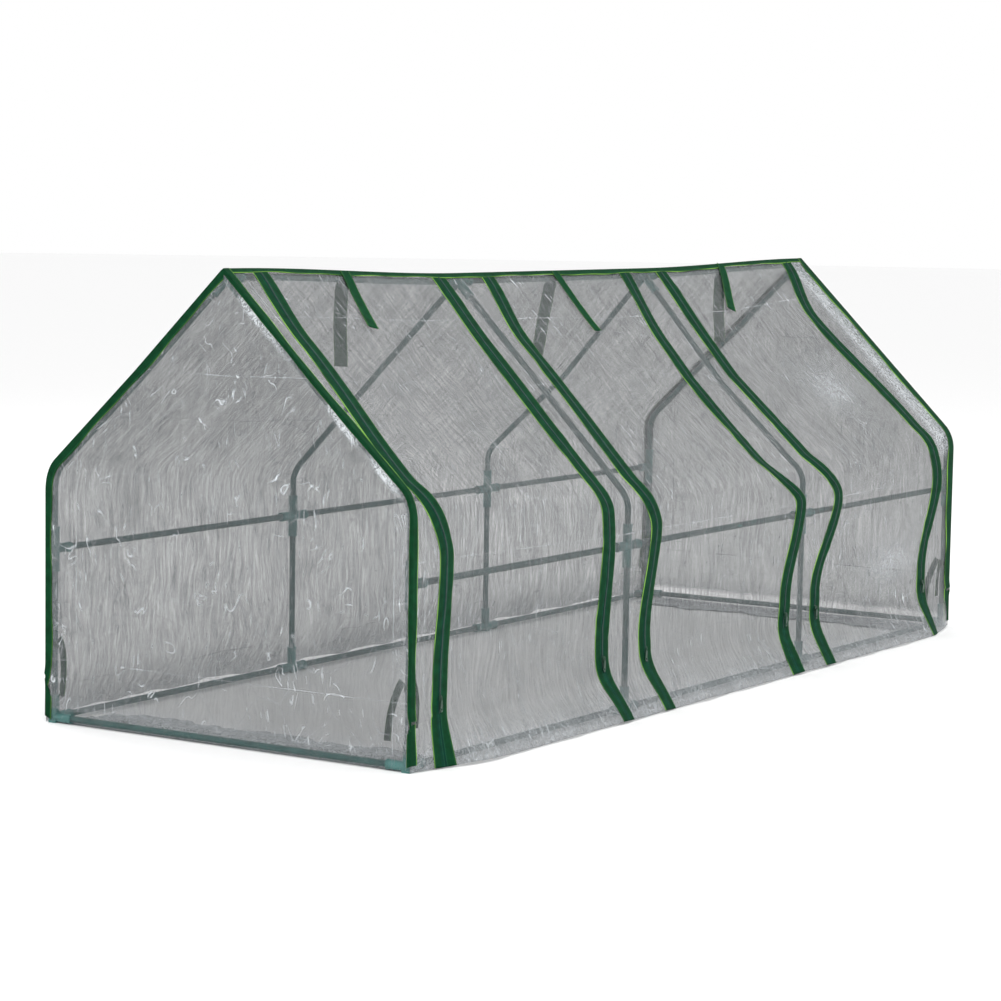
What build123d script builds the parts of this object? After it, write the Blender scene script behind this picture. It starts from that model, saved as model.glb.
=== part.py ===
"""Mini greenhouse: a steel tube frame on push-fit connectors, under a clear film cover with three zip doors.

X runs along the ridge and +Z is up. The doors are in the front, at -Y, and the near end is at -X.
The origin is on the ground, in the middle of the footprint. All sizes are in millimetres.
"""

import os
from math import acos, atan2, cos, degrees, hypot, radians, sin, tan

from build123d import *

# The cover's outer size, over the film.
LENGTH = 2410
WALL_Y = 440  # from the middle to the outside of a long wall
RIDGE_TOP = 915  # top of the ridge binding
EAVE_Z = 482  # where the roof and wall planes meet
EAVE_RADIUS = 82  # outside of the film's bend at the eave

FILM = 1.0
BINDING = 1.5
RIDGE_BINDING_WING = 11
GABLE_BINDING_ON_ROOF = 12
GABLE_BINDING_ON_END = 15

# The hem is spread outwards on the ground along the sides, and tucked in at the ends.
HEM_Z = 1
SKIRT_TOP_Z = 95
SKIRT_OUT = 48
TUCK_DEPTH = 145
TUCK_HALF_WIDTH = 378

# Frame tubes and the sockets that hold them.
TUBE_R = 6.5
TUBE_WALL = 0.6
FRAME_INSET = 12  # from the outside of the film to a tube's axis
BASE_Z = 11
MID_Z = 350
SOCKET_R = 9.5
SOCKET_BORE_R = 6.6
SOCKET_RIM_R = 10.2
SOCKET_RIM = 4
SOCKET_REACH = 45
SOCKET_STOP = 10  # from a connector's centre to the bottom of its sockets
TUBE_END = 10.5
FOOT = 19
FOOT_CORNER = 3

# Doors and their zips. A zip's place is counted from the hoop beside it.
ZIP_AFTER_HOOP = 72
ZIP_BEFORE_HOOP = 118
DOOR_TOP = 12.5  # from the ridge, down the roof
FOLD_GAP = 0.15
TAPE = 1.2
TAPE_WIDTH = 24
DOOR_TAPE_WIDTH = 20
CHAIN_HALF = 2.5
CHAIN = 1.5
CHAIN_STOP = 5  # its lower end, above the top of the skirt
DOOR_EDGE = 4.5  # from the zip's middle to the edge of the door
RIDGE_HINGE_LIFT = 4  # door hinge axis above the roof plane
EAVE_HINGE_LIFT = 1.5

# Zip sliders and pulls.
SLIDER_Z = 128
SLIDER_HALF = 4
SLIDER_LENGTH = 14
SLIDER_LOW = 1.5  # from the film's outside to the slider's underside
SLIDER_ROOF = 3.0
SLIDER_TOP = 5.2
CHANNEL_HALF = 2.9
SLIDER_CORNER = 0.5
PIN_RISE = 5
PIN_OUT = 7.4
PIN_R = 0.8
LUG = 1.4
LUG_R = 1.8
LUG_GAP_HALF = 2.6
PULL = 1.4
PULL_EYE_R = 1.8
PULL_EYE_HALF = 2.3
PULL_BORE_R = 1.0
PULL_NECK = 5
PULL_LENGTH = 30
PULL_CORNER = 2
PULL_HOLE_R = 1.8
PULL_HOLE_FROM_END = 6

# Ties.
TIE = 1.2
TIE_WIDTH = 20
ROLL_TIE_LENGTH = 165
INNER_TIE_LENGTH = 165
LOOP_IN_R = 7.1
LOOP_OUT_R = 8.4
LOOP_OVERLAP = 0.5
CORNER_TIE_Z = 150
CORNER_TIE_LENGTH = 100
CORNER_TIE_WIDTH = 14

RISE = RIDGE_TOP - EAVE_Z
PITCH = acos(BINDING / hypot(RISE, WALL_Y)) - atan2(WALL_Y, RISE)
RIDGE_Z = RIDGE_TOP - BINDING / cos(PITCH)  # where the two roof films' outsides meet
BEND = radians(90) - PITCH
SLOPE_END = WALL_Y / cos(PITCH) - EAVE_RADIUS * tan(BEND / 2)
ARC_END = SLOPE_END + EAVE_RADIUS * BEND
FOLD = (SLOPE_END + ARC_END) / 2
ARC_CENTRE = (WALL_Y - EAVE_RADIUS, EAVE_Z - EAVE_RADIUS * tan(BEND / 2))
SKIRT_START = ARC_END + ARC_CENTRE[1] - SKIRT_TOP_Z
SKIRT_LEAN = atan2(SKIRT_OUT, SKIRT_TOP_Z - HEM_Z)
HEM = SKIRT_START + SKIRT_OUT / sin(SKIRT_LEAN)
CORNERS = (0, SLOPE_END, FOLD, ARC_END, SKIRT_START, HEM)

END_X = LENGTH / 2 - FRAME_INSET
BAY = 2 * END_X / 3
HOOPS = [-END_X + BAY * i for i in range(4)]
LEG_Y = WALL_Y - FRAME_INSET
RIDGE_TUBE_Z = RIDGE_Z - FRAME_INSET / cos(PITCH)
DOOR_ZIPS = [(HOOPS[i] + ZIP_AFTER_HOOP, HOOPS[i + 1] - ZIP_BEFORE_HOOP) for i in range(3)]
FRONT, BACK = -1, 1
SIDES = {"front": FRONT, "back": BACK}

os.makedirs("parts", exist_ok=True)


def write(shape, name):
    """Labels a finished piece and writes its file."""
    shape.label = name
    export_step(shape, f"parts/{name}.step")


# ---------------------------------------------------------------- the cover's outline


def skin(side, girth, out=0.0):
    """Y and Z of the point that lies girth below the ridge along the film and out from the film's outside."""
    if girth <= 0:
        return (0, RIDGE_Z + out / cos(PITCH))
    if girth <= SLOPE_END:
        y = girth * cos(PITCH) + out * sin(PITCH)
        return (side * y, RIDGE_Z - girth * sin(PITCH) + out * cos(PITCH))
    if girth < ARC_END:
        turn = PITCH + (girth - SLOPE_END) / EAVE_RADIUS
        y = ARC_CENTRE[0] + (EAVE_RADIUS + out) * sin(turn)
        return (side * y, ARC_CENTRE[1] + (EAVE_RADIUS + out) * cos(turn))
    down = girth - ARC_END
    if girth < SKIRT_START:
        return (side * (WALL_Y + out), ARC_CENTRE[1] - down)
    along = girth - SKIRT_START
    drop = out * tan(SKIRT_LEAN / 2) if along < 1e-6 else out * sin(SKIRT_LEAN)
    reach = out if along < 1e-6 else out * cos(SKIRT_LEAN)
    y = WALL_Y + along * sin(SKIRT_LEAN) + reach
    return (side * y, SKIRT_TOP_Z - along * cos(SKIRT_LEAN) + drop)


def skin_edges(side, girths, out):
    """Lines and arcs that follow the film through these girths."""
    for first, last in zip(girths, girths[1:]):
        ends = skin(side, first, out), skin(side, last, out)
        if SLOPE_END <= min(first, last) and max(first, last) <= ARC_END:
            ThreePointArc(ends[0], skin(side, (first + last) / 2, out), ends[1])
        else:
            Line(*ends)


def band(side, top, bottom, low, high, x_from, x_to):
    """One sheet along X that follows the film from girth top to girth bottom, between low and high."""
    girths = [top] + [g for g in CORNERS if top + 0.5 < g < bottom - 0.5] + [bottom]
    with BuildPart() as sheet:
        with BuildSketch(Plane.YZ.offset(x_from)):
            with BuildLine():
                skin_edges(side, girths, low)
                Line(skin(side, bottom, low), skin(side, bottom, high))
                skin_edges(side, girths[::-1], high)
                Line(skin(side, top, high), skin(side, top, low))
            make_face()
        extrude(amount=x_to - x_from)
    return sheet.part


def film(side, top, bottom, x_from, x_to):
    """The film's flat and bent stretches from girth top to girth bottom, edge to edge."""
    cuts = [top] + [g for g in (SLOPE_END, ARC_END, SKIRT_START) if top < g < bottom] + [bottom]
    return [band(side, a, b, -FILM, 0, x_from, x_to) for a, b in zip(cuts, cuts[1:])]


def house(x, out, bottom):
    """The end outline as a face across X, grown by out and cut off level at the height bottom."""
    wall = WALL_Y + out
    with BuildSketch(Plane.YZ.offset(x)) as outline:
        with BuildLine():
            for side in (FRONT, BACK):
                skin_edges(side, [0, SLOPE_END, ARC_END], out)
                Line(skin(side, ARC_END, out), (side * wall, bottom))
            Line((-wall, bottom), (wall, bottom))
        make_face()
    return outline.sketch


# ---------------------------------------------------------------- tubes and connectors

ALONG = [Vector(1, 0, 0), Vector(-1, 0, 0)]
UPRIGHT = [Vector(0, 0, 1), Vector(0, 0, -1)]
DOWN_ROOF = {side: Vector(0, side * cos(PITCH), -sin(PITCH)) for side in (FRONT, BACK)}


def tubes(runs):
    """Straight hollow tubes, one for each pair of end points."""
    with BuildPart() as straight:
        for start, end in runs:
            start, end = Vector(*start), Vector(*end)
            with BuildSketch(Plane(origin=start, z_dir=end - start)):
                Circle(TUBE_R)
                Circle(TUBE_R - TUBE_WALL, mode=Mode.SUBTRACT)
            extrude(amount=(end - start).length)
    return straight


def rafters(x):
    """A hoop's two roof tubes, bent at the eaves, from its ridge connector to its mid connectors."""
    with BuildPart() as bent:
        for side, down_roof in DOWN_ROOF.items():
            top = Vector(x, 0, RIDGE_TUBE_Z) + down_roof * TUBE_END
            eave = Vector(x, side * LEG_Y, RIDGE_TUBE_Z - LEG_Y * tan(PITCH))
            bottom = Vector(x, side * LEG_Y, MID_Z + TUBE_END)
            with BuildLine() as path:
                FilletPolyline(top, eave, bottom, radius=EAVE_RADIUS - FRAME_INSET)
            with BuildSketch(Plane(origin=top, z_dir=down_roof)):
                Circle(TUBE_R)
                Circle(TUBE_R - TUBE_WALL, mode=Mode.SUBTRACT)
            sweep(path=path.wires()[0])
    return bent


def connectors(places, foot=False):
    """Moulded connectors, each with rimmed sockets in its own directions and, at the base, a flat foot."""
    with BuildPart() as mouldings:
        for centre, arms in places:
            with Locations(centre):
                Sphere(SOCKET_R)
            for arm in arms:
                with BuildSketch(Plane(origin=centre, z_dir=arm)):
                    Circle(SOCKET_R)
                extrude(amount=SOCKET_REACH)
                with BuildSketch(Plane(origin=centre + arm * (SOCKET_REACH - SOCKET_RIM), z_dir=arm)):
                    Circle(SOCKET_RIM_R)
                extrude(amount=SOCKET_RIM)
            if foot:
                with BuildSketch(Plane.XY):
                    with Locations((centre.X, centre.Y)):
                        RectangleRounded(FOOT, FOOT, FOOT_CORNER)
                extrude(amount=centre.Z)
            for arm in arms:
                with BuildSketch(Plane(origin=centre + arm * SOCKET_STOP, z_dir=arm)):
                    Circle(SOCKET_BORE_R)
                extrude(amount=SOCKET_REACH, mode=Mode.SUBTRACT)
    return mouldings


def inward(place):
    """The direction along X or Y from a place on the frame's outline to its middle."""
    return Vector(*[-c for c in place]).normalized()


def build_tubes():
    bays = [(a + TUBE_END, b - TUBE_END) for a, b in zip(HOOPS, HOOPS[1:])]
    rails = {"ridge_rails": (0, RIDGE_TUBE_Z)}
    for word, side in SIDES.items():
        rails[f"{word}_mid_rails"] = (side * LEG_Y, MID_Z)
        rails[f"{word}_base_rails"] = (side * LEG_Y, BASE_Z)
    for name, (y, z) in rails.items():
        write(tubes([((a, y, z), (b, y, z)) for a, b in bays]).part, name)
    reach = LEG_Y - TUBE_END
    ends = [((x, -reach, BASE_Z), (x, reach, BASE_Z)) for x in (-END_X, END_X)]
    write(tubes(ends).part, "end_base_rails")
    for word, side in SIDES.items():
        feet = [(x, side * LEG_Y, BASE_Z + TUBE_END) for x in HOOPS]
        tops = [(x, side * LEG_Y, MID_Z - TUBE_END) for x in HOOPS]
        write(tubes(zip(feet, tops)).part, f"{word}_legs")
    for number, x in enumerate(HOOPS, 1):
        write(rafters(x).part, f"rafters_{number}")


def build_connectors():
    up = UPRIGHT[0]
    end_legs = [(x, side * LEG_Y) for x in (-END_X, END_X) for side in (FRONT, BACK)]
    inner_legs = [(x, side * LEG_Y) for x in HOOPS[1:3] for side in (FRONT, BACK)]
    corners = [(Vector(x, y, BASE_Z), [up, inward((x, 0, 0)), inward((0, y, 0))]) for x, y in end_legs]
    write(connectors(corners, foot=True).part, "corner_elbows")
    tees = [(Vector(x, y, BASE_Z), [up, *ALONG]) for x, y in inner_legs]
    write(connectors(tees, foot=True).part, "base_tees")
    tees = [(Vector(x, y, MID_Z), [*UPRIGHT, inward((x, 0, 0))]) for x, y in end_legs]
    write(connectors(tees).part, "mid_tees")
    crosses = [(Vector(x, y, MID_Z), [*UPRIGHT, *ALONG]) for x, y in inner_legs]
    write(connectors(crosses).part, "mid_crosses")
    down = list(DOWN_ROOF.values())
    tees = [(Vector(x, 0, RIDGE_TUBE_Z), [*down, inward((x, 0, 0))]) for x in (-END_X, END_X)]
    write(connectors(tees).part, "ridge_tees")
    crosses = [(Vector(x, 0, RIDGE_TUBE_Z), [*down, *ALONG]) for x in HOOPS[1:3]]
    write(connectors(crosses).part, "ridge_crosses")


# ---------------------------------------------------------------- the fixed cover


def gable_film(end):
    """An end panel and its hem, which is tucked in on the ground under the end rail."""
    outside, inside = end * LENGTH / 2, end * (LENGTH / 2 - FILM)
    with BuildPart() as panel:
        extrude(house(inside, 0, HEM_Z), amount=outside - inside)
    with BuildPart() as tuck:
        with BuildSketch(Plane.XY.offset(HEM_Z)):
            with Locations((end * (LENGTH / 2 - FILM - TUCK_DEPTH / 2), 0)):
                Rectangle(TUCK_DEPTH, 2 * TUCK_HALF_WIDTH)
        extrude(amount=FILM)
    return Compound(children=[panel.part, tuck.part])


def gable_bindings():
    """The tapes bound round the seams between the end panels and the roof and walls."""
    with BuildPart() as tapes:
        for end in (-1, 1):
            outside, on_end = end * (LENGTH / 2 + BINDING), end * LENGTH / 2
            on_roof = end * GABLE_BINDING_ON_ROOF
            extrude(house(outside, BINDING, SKIRT_TOP_Z), amount=-end * BINDING - on_roof)
            opening = house(outside, -GABLE_BINDING_ON_END, SKIRT_TOP_Z - 1)
            extrude(opening, amount=-end * 2 * BINDING, mode=Mode.SUBTRACT)
            inside = house(on_end, 0, SKIRT_TOP_Z - 1)
            extrude(inside, amount=-end - on_roof, mode=Mode.SUBTRACT)
    return tapes.part


def ridge_binding():
    """The tape folded over the ridge seam, between the two gable bindings."""
    half = LENGTH / 2 - GABLE_BINDING_ON_ROOF
    with BuildPart() as tape:
        for side in (FRONT, BACK):
            with BuildSketch(Plane.YZ.offset(-half)):
                with BuildLine():
                    skin_edges(side, [0, RIDGE_BINDING_WING], 0)
                    Line(skin(side, RIDGE_BINDING_WING, 0), skin(side, RIDGE_BINDING_WING, BINDING))
                    skin_edges(side, [RIDGE_BINDING_WING, 0], BINDING)
                    Line(skin(side, 0, BINDING), skin(side, 0, 0))
                make_face()
            extrude(amount=2 * half)
    return tape.part


def fixed_tape(x, toward_door):
    """The zip tape sewn to the fixed film, from its outer edge to under the chain."""
    edges = x - toward_door * TAPE_WIDTH, x + toward_door * CHAIN_HALF
    return band(FRONT, DOOR_TOP, HEM, 0, TAPE, min(edges), max(edges))


def zip_chain(x):
    """The closed chain of coils that stands on the fixed tape."""
    bottom = SKIRT_START - CHAIN_STOP
    return band(FRONT, DOOR_TOP, bottom, TAPE, TAPE + CHAIN, x - CHAIN_HALF, x + CHAIN_HALF)


def corner_ties():
    """Tapes looped round the corner legs, each with two tails that hang inside."""
    tail = LOOP_OUT_R + CORNER_TIE_WIDTH / 2 - LOOP_OVERLAP
    with BuildPart() as ties:
        for x, y in [(end * END_X, side * LEG_Y) for end in (-1, 1) for side in (FRONT, BACK)]:
            with BuildSketch(Plane.XY.offset(CORNER_TIE_Z - CORNER_TIE_WIDTH / 2)):
                with Locations((x, y)):
                    Circle(LOOP_OUT_R)
                    Circle(LOOP_IN_R, mode=Mode.SUBTRACT)
            extrude(amount=CORNER_TIE_WIDTH)
            with BuildSketch(Plane.XY.offset(CORNER_TIE_Z + CORNER_TIE_WIDTH / 2)):
                with Locations((x, y - tail * y / LEG_Y)):
                    Rectangle(TIE, CORNER_TIE_WIDTH)
                with Locations((x - tail * x / END_X, y)):
                    Rectangle(CORNER_TIE_WIDTH, TIE)
            extrude(amount=-CORNER_TIE_LENGTH)
    return ties.part


def build_fixed_cover():
    half = LENGTH / 2 - FILM
    write(Compound(children=film(BACK, 0, HEM, -half, half)), "back_film")
    edges = [-half]
    for left, right in DOOR_ZIPS:
        edges += [left + CHAIN_HALF, right - CHAIN_HALF]
    edges.append(half)
    sheets = []
    for x_from, x_to in zip(edges[::2], edges[1::2]):
        sheets += film(FRONT, 0, HEM, x_from, x_to)
    for x_from, x_to in zip(edges[1:-1:2], edges[2:-1:2]):
        sheets += film(FRONT, 0, DOOR_TOP - 1, x_from, x_to)
    write(Compound(children=sheets), "front_film")
    for word, end in (("near", -1), ("far", 1)):
        write(gable_film(end), f"{word}_gable_film")
    write(gable_bindings(), "gable_bindings")
    write(ridge_binding(), "ridge_binding")
    for number, (left, right) in enumerate(DOOR_ZIPS, 1):
        write(Compound(children=[fixed_tape(left, 1), fixed_tape(right, -1)]), f"fixed_tapes_{number}")
    chains = [zip_chain(x) for pair in DOOR_ZIPS for x in pair]
    write(Compound(children=chains), "zip_chains")
    write(corner_ties(), "corner_ties")


# ---------------------------------------------------------------- doors and what moves


def door_tapes(left, right, top, bottom):
    """The zip tapes along a door's side edges, between two girths."""
    lanes = [
        (left + DOOR_EDGE, left + DOOR_EDGE + DOOR_TAPE_WIDTH),
        (right - DOOR_EDGE - DOOR_TAPE_WIDTH, right - DOOR_EDGE),
    ]
    return Compound(children=[band(FRONT, top, bottom, 0, TAPE, *lane) for lane in lanes])


def slider(x):
    """A zip slider: a channel over the chain, and two lugs with the pull's pin between them."""
    lug_out = LUG_GAP_HALF + LUG
    with BuildPart() as body:
        with BuildSketch(Plane.XY.offset(SLIDER_Z - SLIDER_LENGTH / 2)):
            with Locations((x, -WALL_Y - (SLIDER_LOW + SLIDER_TOP) / 2)):
                RectangleRounded(2 * SLIDER_HALF, SLIDER_TOP - SLIDER_LOW, SLIDER_CORNER)
            with Locations((x, -WALL_Y - (SLIDER_LOW + SLIDER_ROOF) / 2)):
                Rectangle(2 * CHANNEL_HALF, SLIDER_ROOF - SLIDER_LOW, mode=Mode.SUBTRACT)
        extrude(amount=SLIDER_LENGTH)
        for x_from in (x - lug_out, x + LUG_GAP_HALF):
            with BuildSketch(Plane.YZ.offset(x_from)):
                with Locations((-WALL_Y - PIN_OUT, SLIDER_Z + PIN_RISE)):
                    Circle(LUG_R)
                with Locations((-WALL_Y - (SLIDER_ROOF + PIN_OUT) / 2, SLIDER_Z + PIN_RISE)):
                    Rectangle(PIN_OUT - SLIDER_ROOF, 2 * LUG_R)
            extrude(amount=LUG)
        with BuildSketch(Plane.YZ.offset(x - lug_out)):
            with Locations((-WALL_Y - PIN_OUT, SLIDER_Z + PIN_RISE)):
                Circle(PIN_R)
        extrude(amount=2 * lug_out)
    return body.part


def pull(x):
    """A zip pull: an eye round the slider's pin and a flat tab that hangs from it."""
    y, z = -WALL_Y - PIN_OUT, SLIDER_Z + PIN_RISE
    with BuildPart() as tab:
        with BuildSketch(Plane.YZ.offset(x - PULL_EYE_HALF)):
            with Locations((y, z)):
                Circle(PULL_EYE_R)
            with Locations((y, z - (PULL_NECK + 1) / 2)):
                Rectangle(PULL, PULL_NECK + 1)
            with Locations((y, z)):
                Circle(PULL_BORE_R, mode=Mode.SUBTRACT)
        extrude(amount=2 * PULL_EYE_HALF)
        with BuildSketch(Plane.XZ.offset(-y - PULL / 2)):
            with Locations((x, z - (PULL_NECK + PULL_LENGTH) / 2)):
                RectangleRounded(2 * SLIDER_HALF, PULL_LENGTH - PULL_NECK, PULL_CORNER)
            with Locations((x, z - PULL_LENGTH + PULL_HOLE_FROM_END)):
                Circle(PULL_HOLE_R, mode=Mode.SUBTRACT)
        extrude(amount=PULL)
    return tab.part


def inner_tie(x):
    """A tape looped round the ridge rail, with a tail that hangs straight down inside."""
    with BuildPart() as tie:
        with BuildSketch(Plane.YZ.offset(x - TIE_WIDTH / 2)):
            with Locations((0, RIDGE_TUBE_Z)):
                Circle(LOOP_OUT_R)
                Circle(LOOP_IN_R, mode=Mode.SUBTRACT)
            with Locations((0, RIDGE_TUBE_Z - LOOP_OUT_R + LOOP_OVERLAP - INNER_TIE_LENGTH / 2)):
                Rectangle(TIE, INNER_TIE_LENGTH)
        extrude(amount=TIE_WIDTH)
    return tie.part


def build_doors():
    pieces = {"roof": (DOOR_TOP, FOLD - FOLD_GAP), "wall": (FOLD + FOLD_GAP, HEM)}
    for number, (left, right) in enumerate(DOOR_ZIPS, 1):
        for word, girths in pieces.items():
            sheets = film(FRONT, *girths, left + DOOR_EDGE, right - DOOR_EDGE)
            write(Compound(children=sheets), f"door_{number}_{word}_film")
            write(door_tapes(left, right, *girths), f"door_{number}_{word}_tapes")
        middle = (left + right) / 2
        lane = middle - TIE_WIDTH / 2, middle + TIE_WIDTH / 2
        write(band(FRONT, DOOR_TOP, DOOR_TOP + ROLL_TIE_LENGTH, 0, TIE, *lane), f"roll_tie_{number}")
        write(inner_tie(middle), f"inner_tie_{number}")
        for word, x in (("left", left), ("right", right)):
            write(slider(x), f"slider_{number}_{word}")
            write(pull(x), f"pull_{number}_{word}")


build_tubes()
build_connectors()
build_fixed_cover()
build_doors()
print("pitch", round(degrees(PITCH), 2), "girth", round(HEM, 1), "zips", DOOR_ZIPS)
print("ridge hinge", skin(FRONT, 0, RIDGE_HINGE_LIFT), "fold hinge", skin(FRONT, FOLD, EAVE_HINGE_LIFT))
print("hoops", HOOPS, "ridge tube z", RIDGE_TUBE_Z)
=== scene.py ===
"""Looks of a mini greenhouse: a clear film cover with woven tapes and zips over a plastic-coated tube frame.

X runs along the ridge, the doors face -Y and Z is up. All lengths are in metres.
"""

from math import atan2, cos, pi, radians, sin, tan

import bpy
import numpy as np
from bpy.props import FloatProperty, FloatVectorProperty, IntProperty, PointerProperty
from mathutils import Matrix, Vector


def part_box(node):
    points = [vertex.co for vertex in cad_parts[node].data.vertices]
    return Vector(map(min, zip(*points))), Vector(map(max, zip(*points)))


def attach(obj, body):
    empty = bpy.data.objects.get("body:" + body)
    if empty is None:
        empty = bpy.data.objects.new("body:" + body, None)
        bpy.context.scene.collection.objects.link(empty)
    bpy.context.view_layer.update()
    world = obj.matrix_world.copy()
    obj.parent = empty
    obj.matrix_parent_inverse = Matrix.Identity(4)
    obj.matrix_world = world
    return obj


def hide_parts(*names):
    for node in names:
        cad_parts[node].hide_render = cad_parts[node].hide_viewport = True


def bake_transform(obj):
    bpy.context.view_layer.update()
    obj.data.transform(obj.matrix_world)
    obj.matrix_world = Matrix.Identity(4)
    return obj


bl_info = {
    "name": "Film Cover Greenhouse",
    "version": (1, 0, 0),
    "blender": (4, 5, 0),
    "location": "View3D > Sidebar > Greenhouse",
    "description": "Builds the cover, zips, ties and tubes of a mini greenhouse on its packed frame",
    "category": "Add Mesh",
}

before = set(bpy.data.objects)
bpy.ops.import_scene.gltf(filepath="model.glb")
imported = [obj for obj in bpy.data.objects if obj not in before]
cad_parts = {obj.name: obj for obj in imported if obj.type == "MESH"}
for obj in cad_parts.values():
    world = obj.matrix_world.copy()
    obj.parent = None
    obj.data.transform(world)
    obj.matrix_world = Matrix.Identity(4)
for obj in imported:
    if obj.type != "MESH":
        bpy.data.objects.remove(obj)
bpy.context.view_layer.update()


def middle_x(node):
    """The middle of a CAD node along the ridge."""
    low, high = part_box(node)
    return (low.x + high.x) / 2


# ---------------------------------------------------------------- sizes read from the frame

END_FACE = -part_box("near_gable_film")[0].x
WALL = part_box("near_gable_film")[1].y
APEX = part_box("near_gable_film")[1].z
HOOPS = np.array([middle_x(f"rafters_{n}") for n in (1, 2, 3, 4)])
TUBE_R = (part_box("rafters_1")[1].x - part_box("rafters_1")[0].x) / 2
LEG_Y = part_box("rafters_1")[1].y - TUBE_R
RIDGE_TUBE_Z = (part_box("ridge_rails")[0].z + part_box("ridge_rails")[1].z) / 2
ZIPS = [[middle_x(f"slider_{n}_{side}") for side in ("left", "right")] for n in (1, 2, 3)]
PULL_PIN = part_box("pull_1_left")[1].z - 0.0018

EAVE_RADIUS = 0.082
EAVE_Z = 0.482
PITCH = atan2(APEX - EAVE_Z, WALL)
BEND = pi / 2 - PITCH
SLOPE_END = WALL / cos(PITCH) - EAVE_RADIUS * tan(BEND / 2)
EAVE_END = SLOPE_END + EAVE_RADIUS * BEND
FOLD = (SLOPE_END + EAVE_END) / 2
FLARE_AT = EAVE_END + EAVE_Z - EAVE_RADIUS * tan(BEND / 2) - 0.095
HEM = FLARE_AT + 0.1055
DOOR_TOP = 0.0125

# How far each zip sways along the ridge, in whole centimetres, at the ridge, the upper roof, the foot of
# the roof, the knee below the eave, the low wall and the hem. Limp film lets a sewn tape lean down the roof
# and kick back below the eave.
SWAY_AT = (0.0, 0.2, 0.56, 0.71, 0.93, HEM)
SWAY = {
    (1, 0): (2, -1, -5, 3, 1, 0),
    (1, 1): (3, 1, 1, 2, 0, 2),
    (2, 0): (3, -2, -3, 3, -2, 1),
    (2, 1): (1, -4, -5, 9, 2, -1),
    (3, 0): (-1, -2, -2, 9, -2, -4),
    (3, 1): (3, -6, -2, 4, -4, -4),
}

# How far the roof has settled at each hoop, down the slope from the ridge, in millimetres.
SETTLED_AT = np.array([0.0, 0.3, 0.6])
SETTLED = np.array([[5, 10, 25], [-15, -20, -30], [-15, -50, -35], [0, 0, 0]]) / 1000


# ---------------------------------------------------------------- settings


def linear(code):
    """An sRGB hex colour as linear red, green and blue."""
    parts = np.array([int(code[i : i + 2], 16) / 255 for i in (1, 3, 5)])
    return tuple(np.where(parts <= 0.04045, parts / 12.92, ((parts + 0.055) / 1.055) ** 2.4))


def colour(name, code, description):
    """A colour setting with its default as an sRGB hex value."""
    return FloatVectorProperty(
        name=name, description=description, subtype="COLOR", size=3, min=0, max=1, default=linear(code),
    )


def length(name, default, description):
    """A length setting in metres."""
    return FloatProperty(
        name=name, description=description, subtype="DISTANCE", unit="LENGTH", default=default, precision=4,
    )


class CoverSettings(bpy.types.PropertyGroup):
    film: length("Film", 0.0005, "Thickness of the film as drawn")
    grid: length("Grid", 0.007, "Distance between the points of a sheet")
    drape: length("Drape", 0.007, "How far the roof film sinks between two hoops")
    ripple: length("Ripple", 0.0011, "Height of each long ripple in the film")
    crease: length("Crease", 0.0011, "Height of a soft crease in the film")
    haze: colour("Haze", "#575a5c", "Grey of the film's haze")
    # Glint is the white of the painted highlights on hairlines, creases, folds and crinkled places; it stands
    # in for light that the film catches.
    glint: colour("Glint", "#e6ecf0", "White of stressed creases")
    opacity: FloatProperty(
        name="Opacity", description="Share of light that each face of the film stops", subtype="FACTOR",
        min=0, max=1, default=0.335,
    )


class TapeSettings(bpy.types.PropertyGroup):
    tape: length("Tape", 0.001, "Thickness of the zip tapes and bindings")
    zip_half: length("Zip half width", 0.0242, "From the middle of a zip to the outer edge of its tape")
    chain_half: length("Chain half width", 0.0025, "Half the width of the closed coils")
    coil: length("Coil pitch", 0.0026, "Distance between two turns of the coil")
    tie: length("Tie width", 0.027, "Width of the roll ties")
    green: colour("Green", "#0a4024", "Dark green of the woven tapes")
    core: colour("Core", "#0c3f31", "Bluer green along the middle of a zip")
    selvedge: colour("Selvedge", "#8fc455", "Bright yellow-green thread along an edge")


class FrameSettings(bpy.types.PropertyGroup):
    sides: IntProperty(name="Sides", description="Sides of a round tube", default=28, min=12, max=64)
    socket_r: length("Socket radius", 0.0095, "Outer radius of a connector's socket")
    reach: length("Socket reach", 0.045, "From a connector's centre to the mouth of a socket")
    tube: colour("Tube", "#2a524f", "Dark slate green of the coated tubes")
    connector: colour("Connector", "#3f7672", "Teal of the moulded connectors")


class StageSettings(bpy.types.PropertyGroup):
    floor: colour("Floor", "#fafafa", "Plain pale floor")
    azimuth: FloatProperty(
        name="Azimuth", description="Angle of the camera round the object", subtype="ANGLE",
        default=radians(-57.56),
    )
    elevation: FloatProperty(
        name="Elevation", description="Angle of the camera above the horizon", subtype="ANGLE",
        default=radians(5.94),
    )
    roll: FloatProperty(name="Roll", description="Tilt of the camera", subtype="ANGLE", default=radians(0.95))
    place: FloatVectorProperty(
        name="Place", description="Where the camera stands", subtype="XYZ", unit="LENGTH",
        default=(-5.682, -3.475, 1.073),
    )
    lens: FloatProperty(name="Lens", description="Focal length in millimetres", default=107)
    key: FloatProperty(
        name="Key light", description="Power of the main soft light", subtype="POWER", default=150,
    )


# ---------------------------------------------------------------- the cover's surface


def ease(value, low, high):
    """0 below low, 1 above high, and a smooth S between them."""
    t = np.clip((value - low) / (high - low), 0, 1)
    return t * t * (3 - 2 * t)


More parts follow.
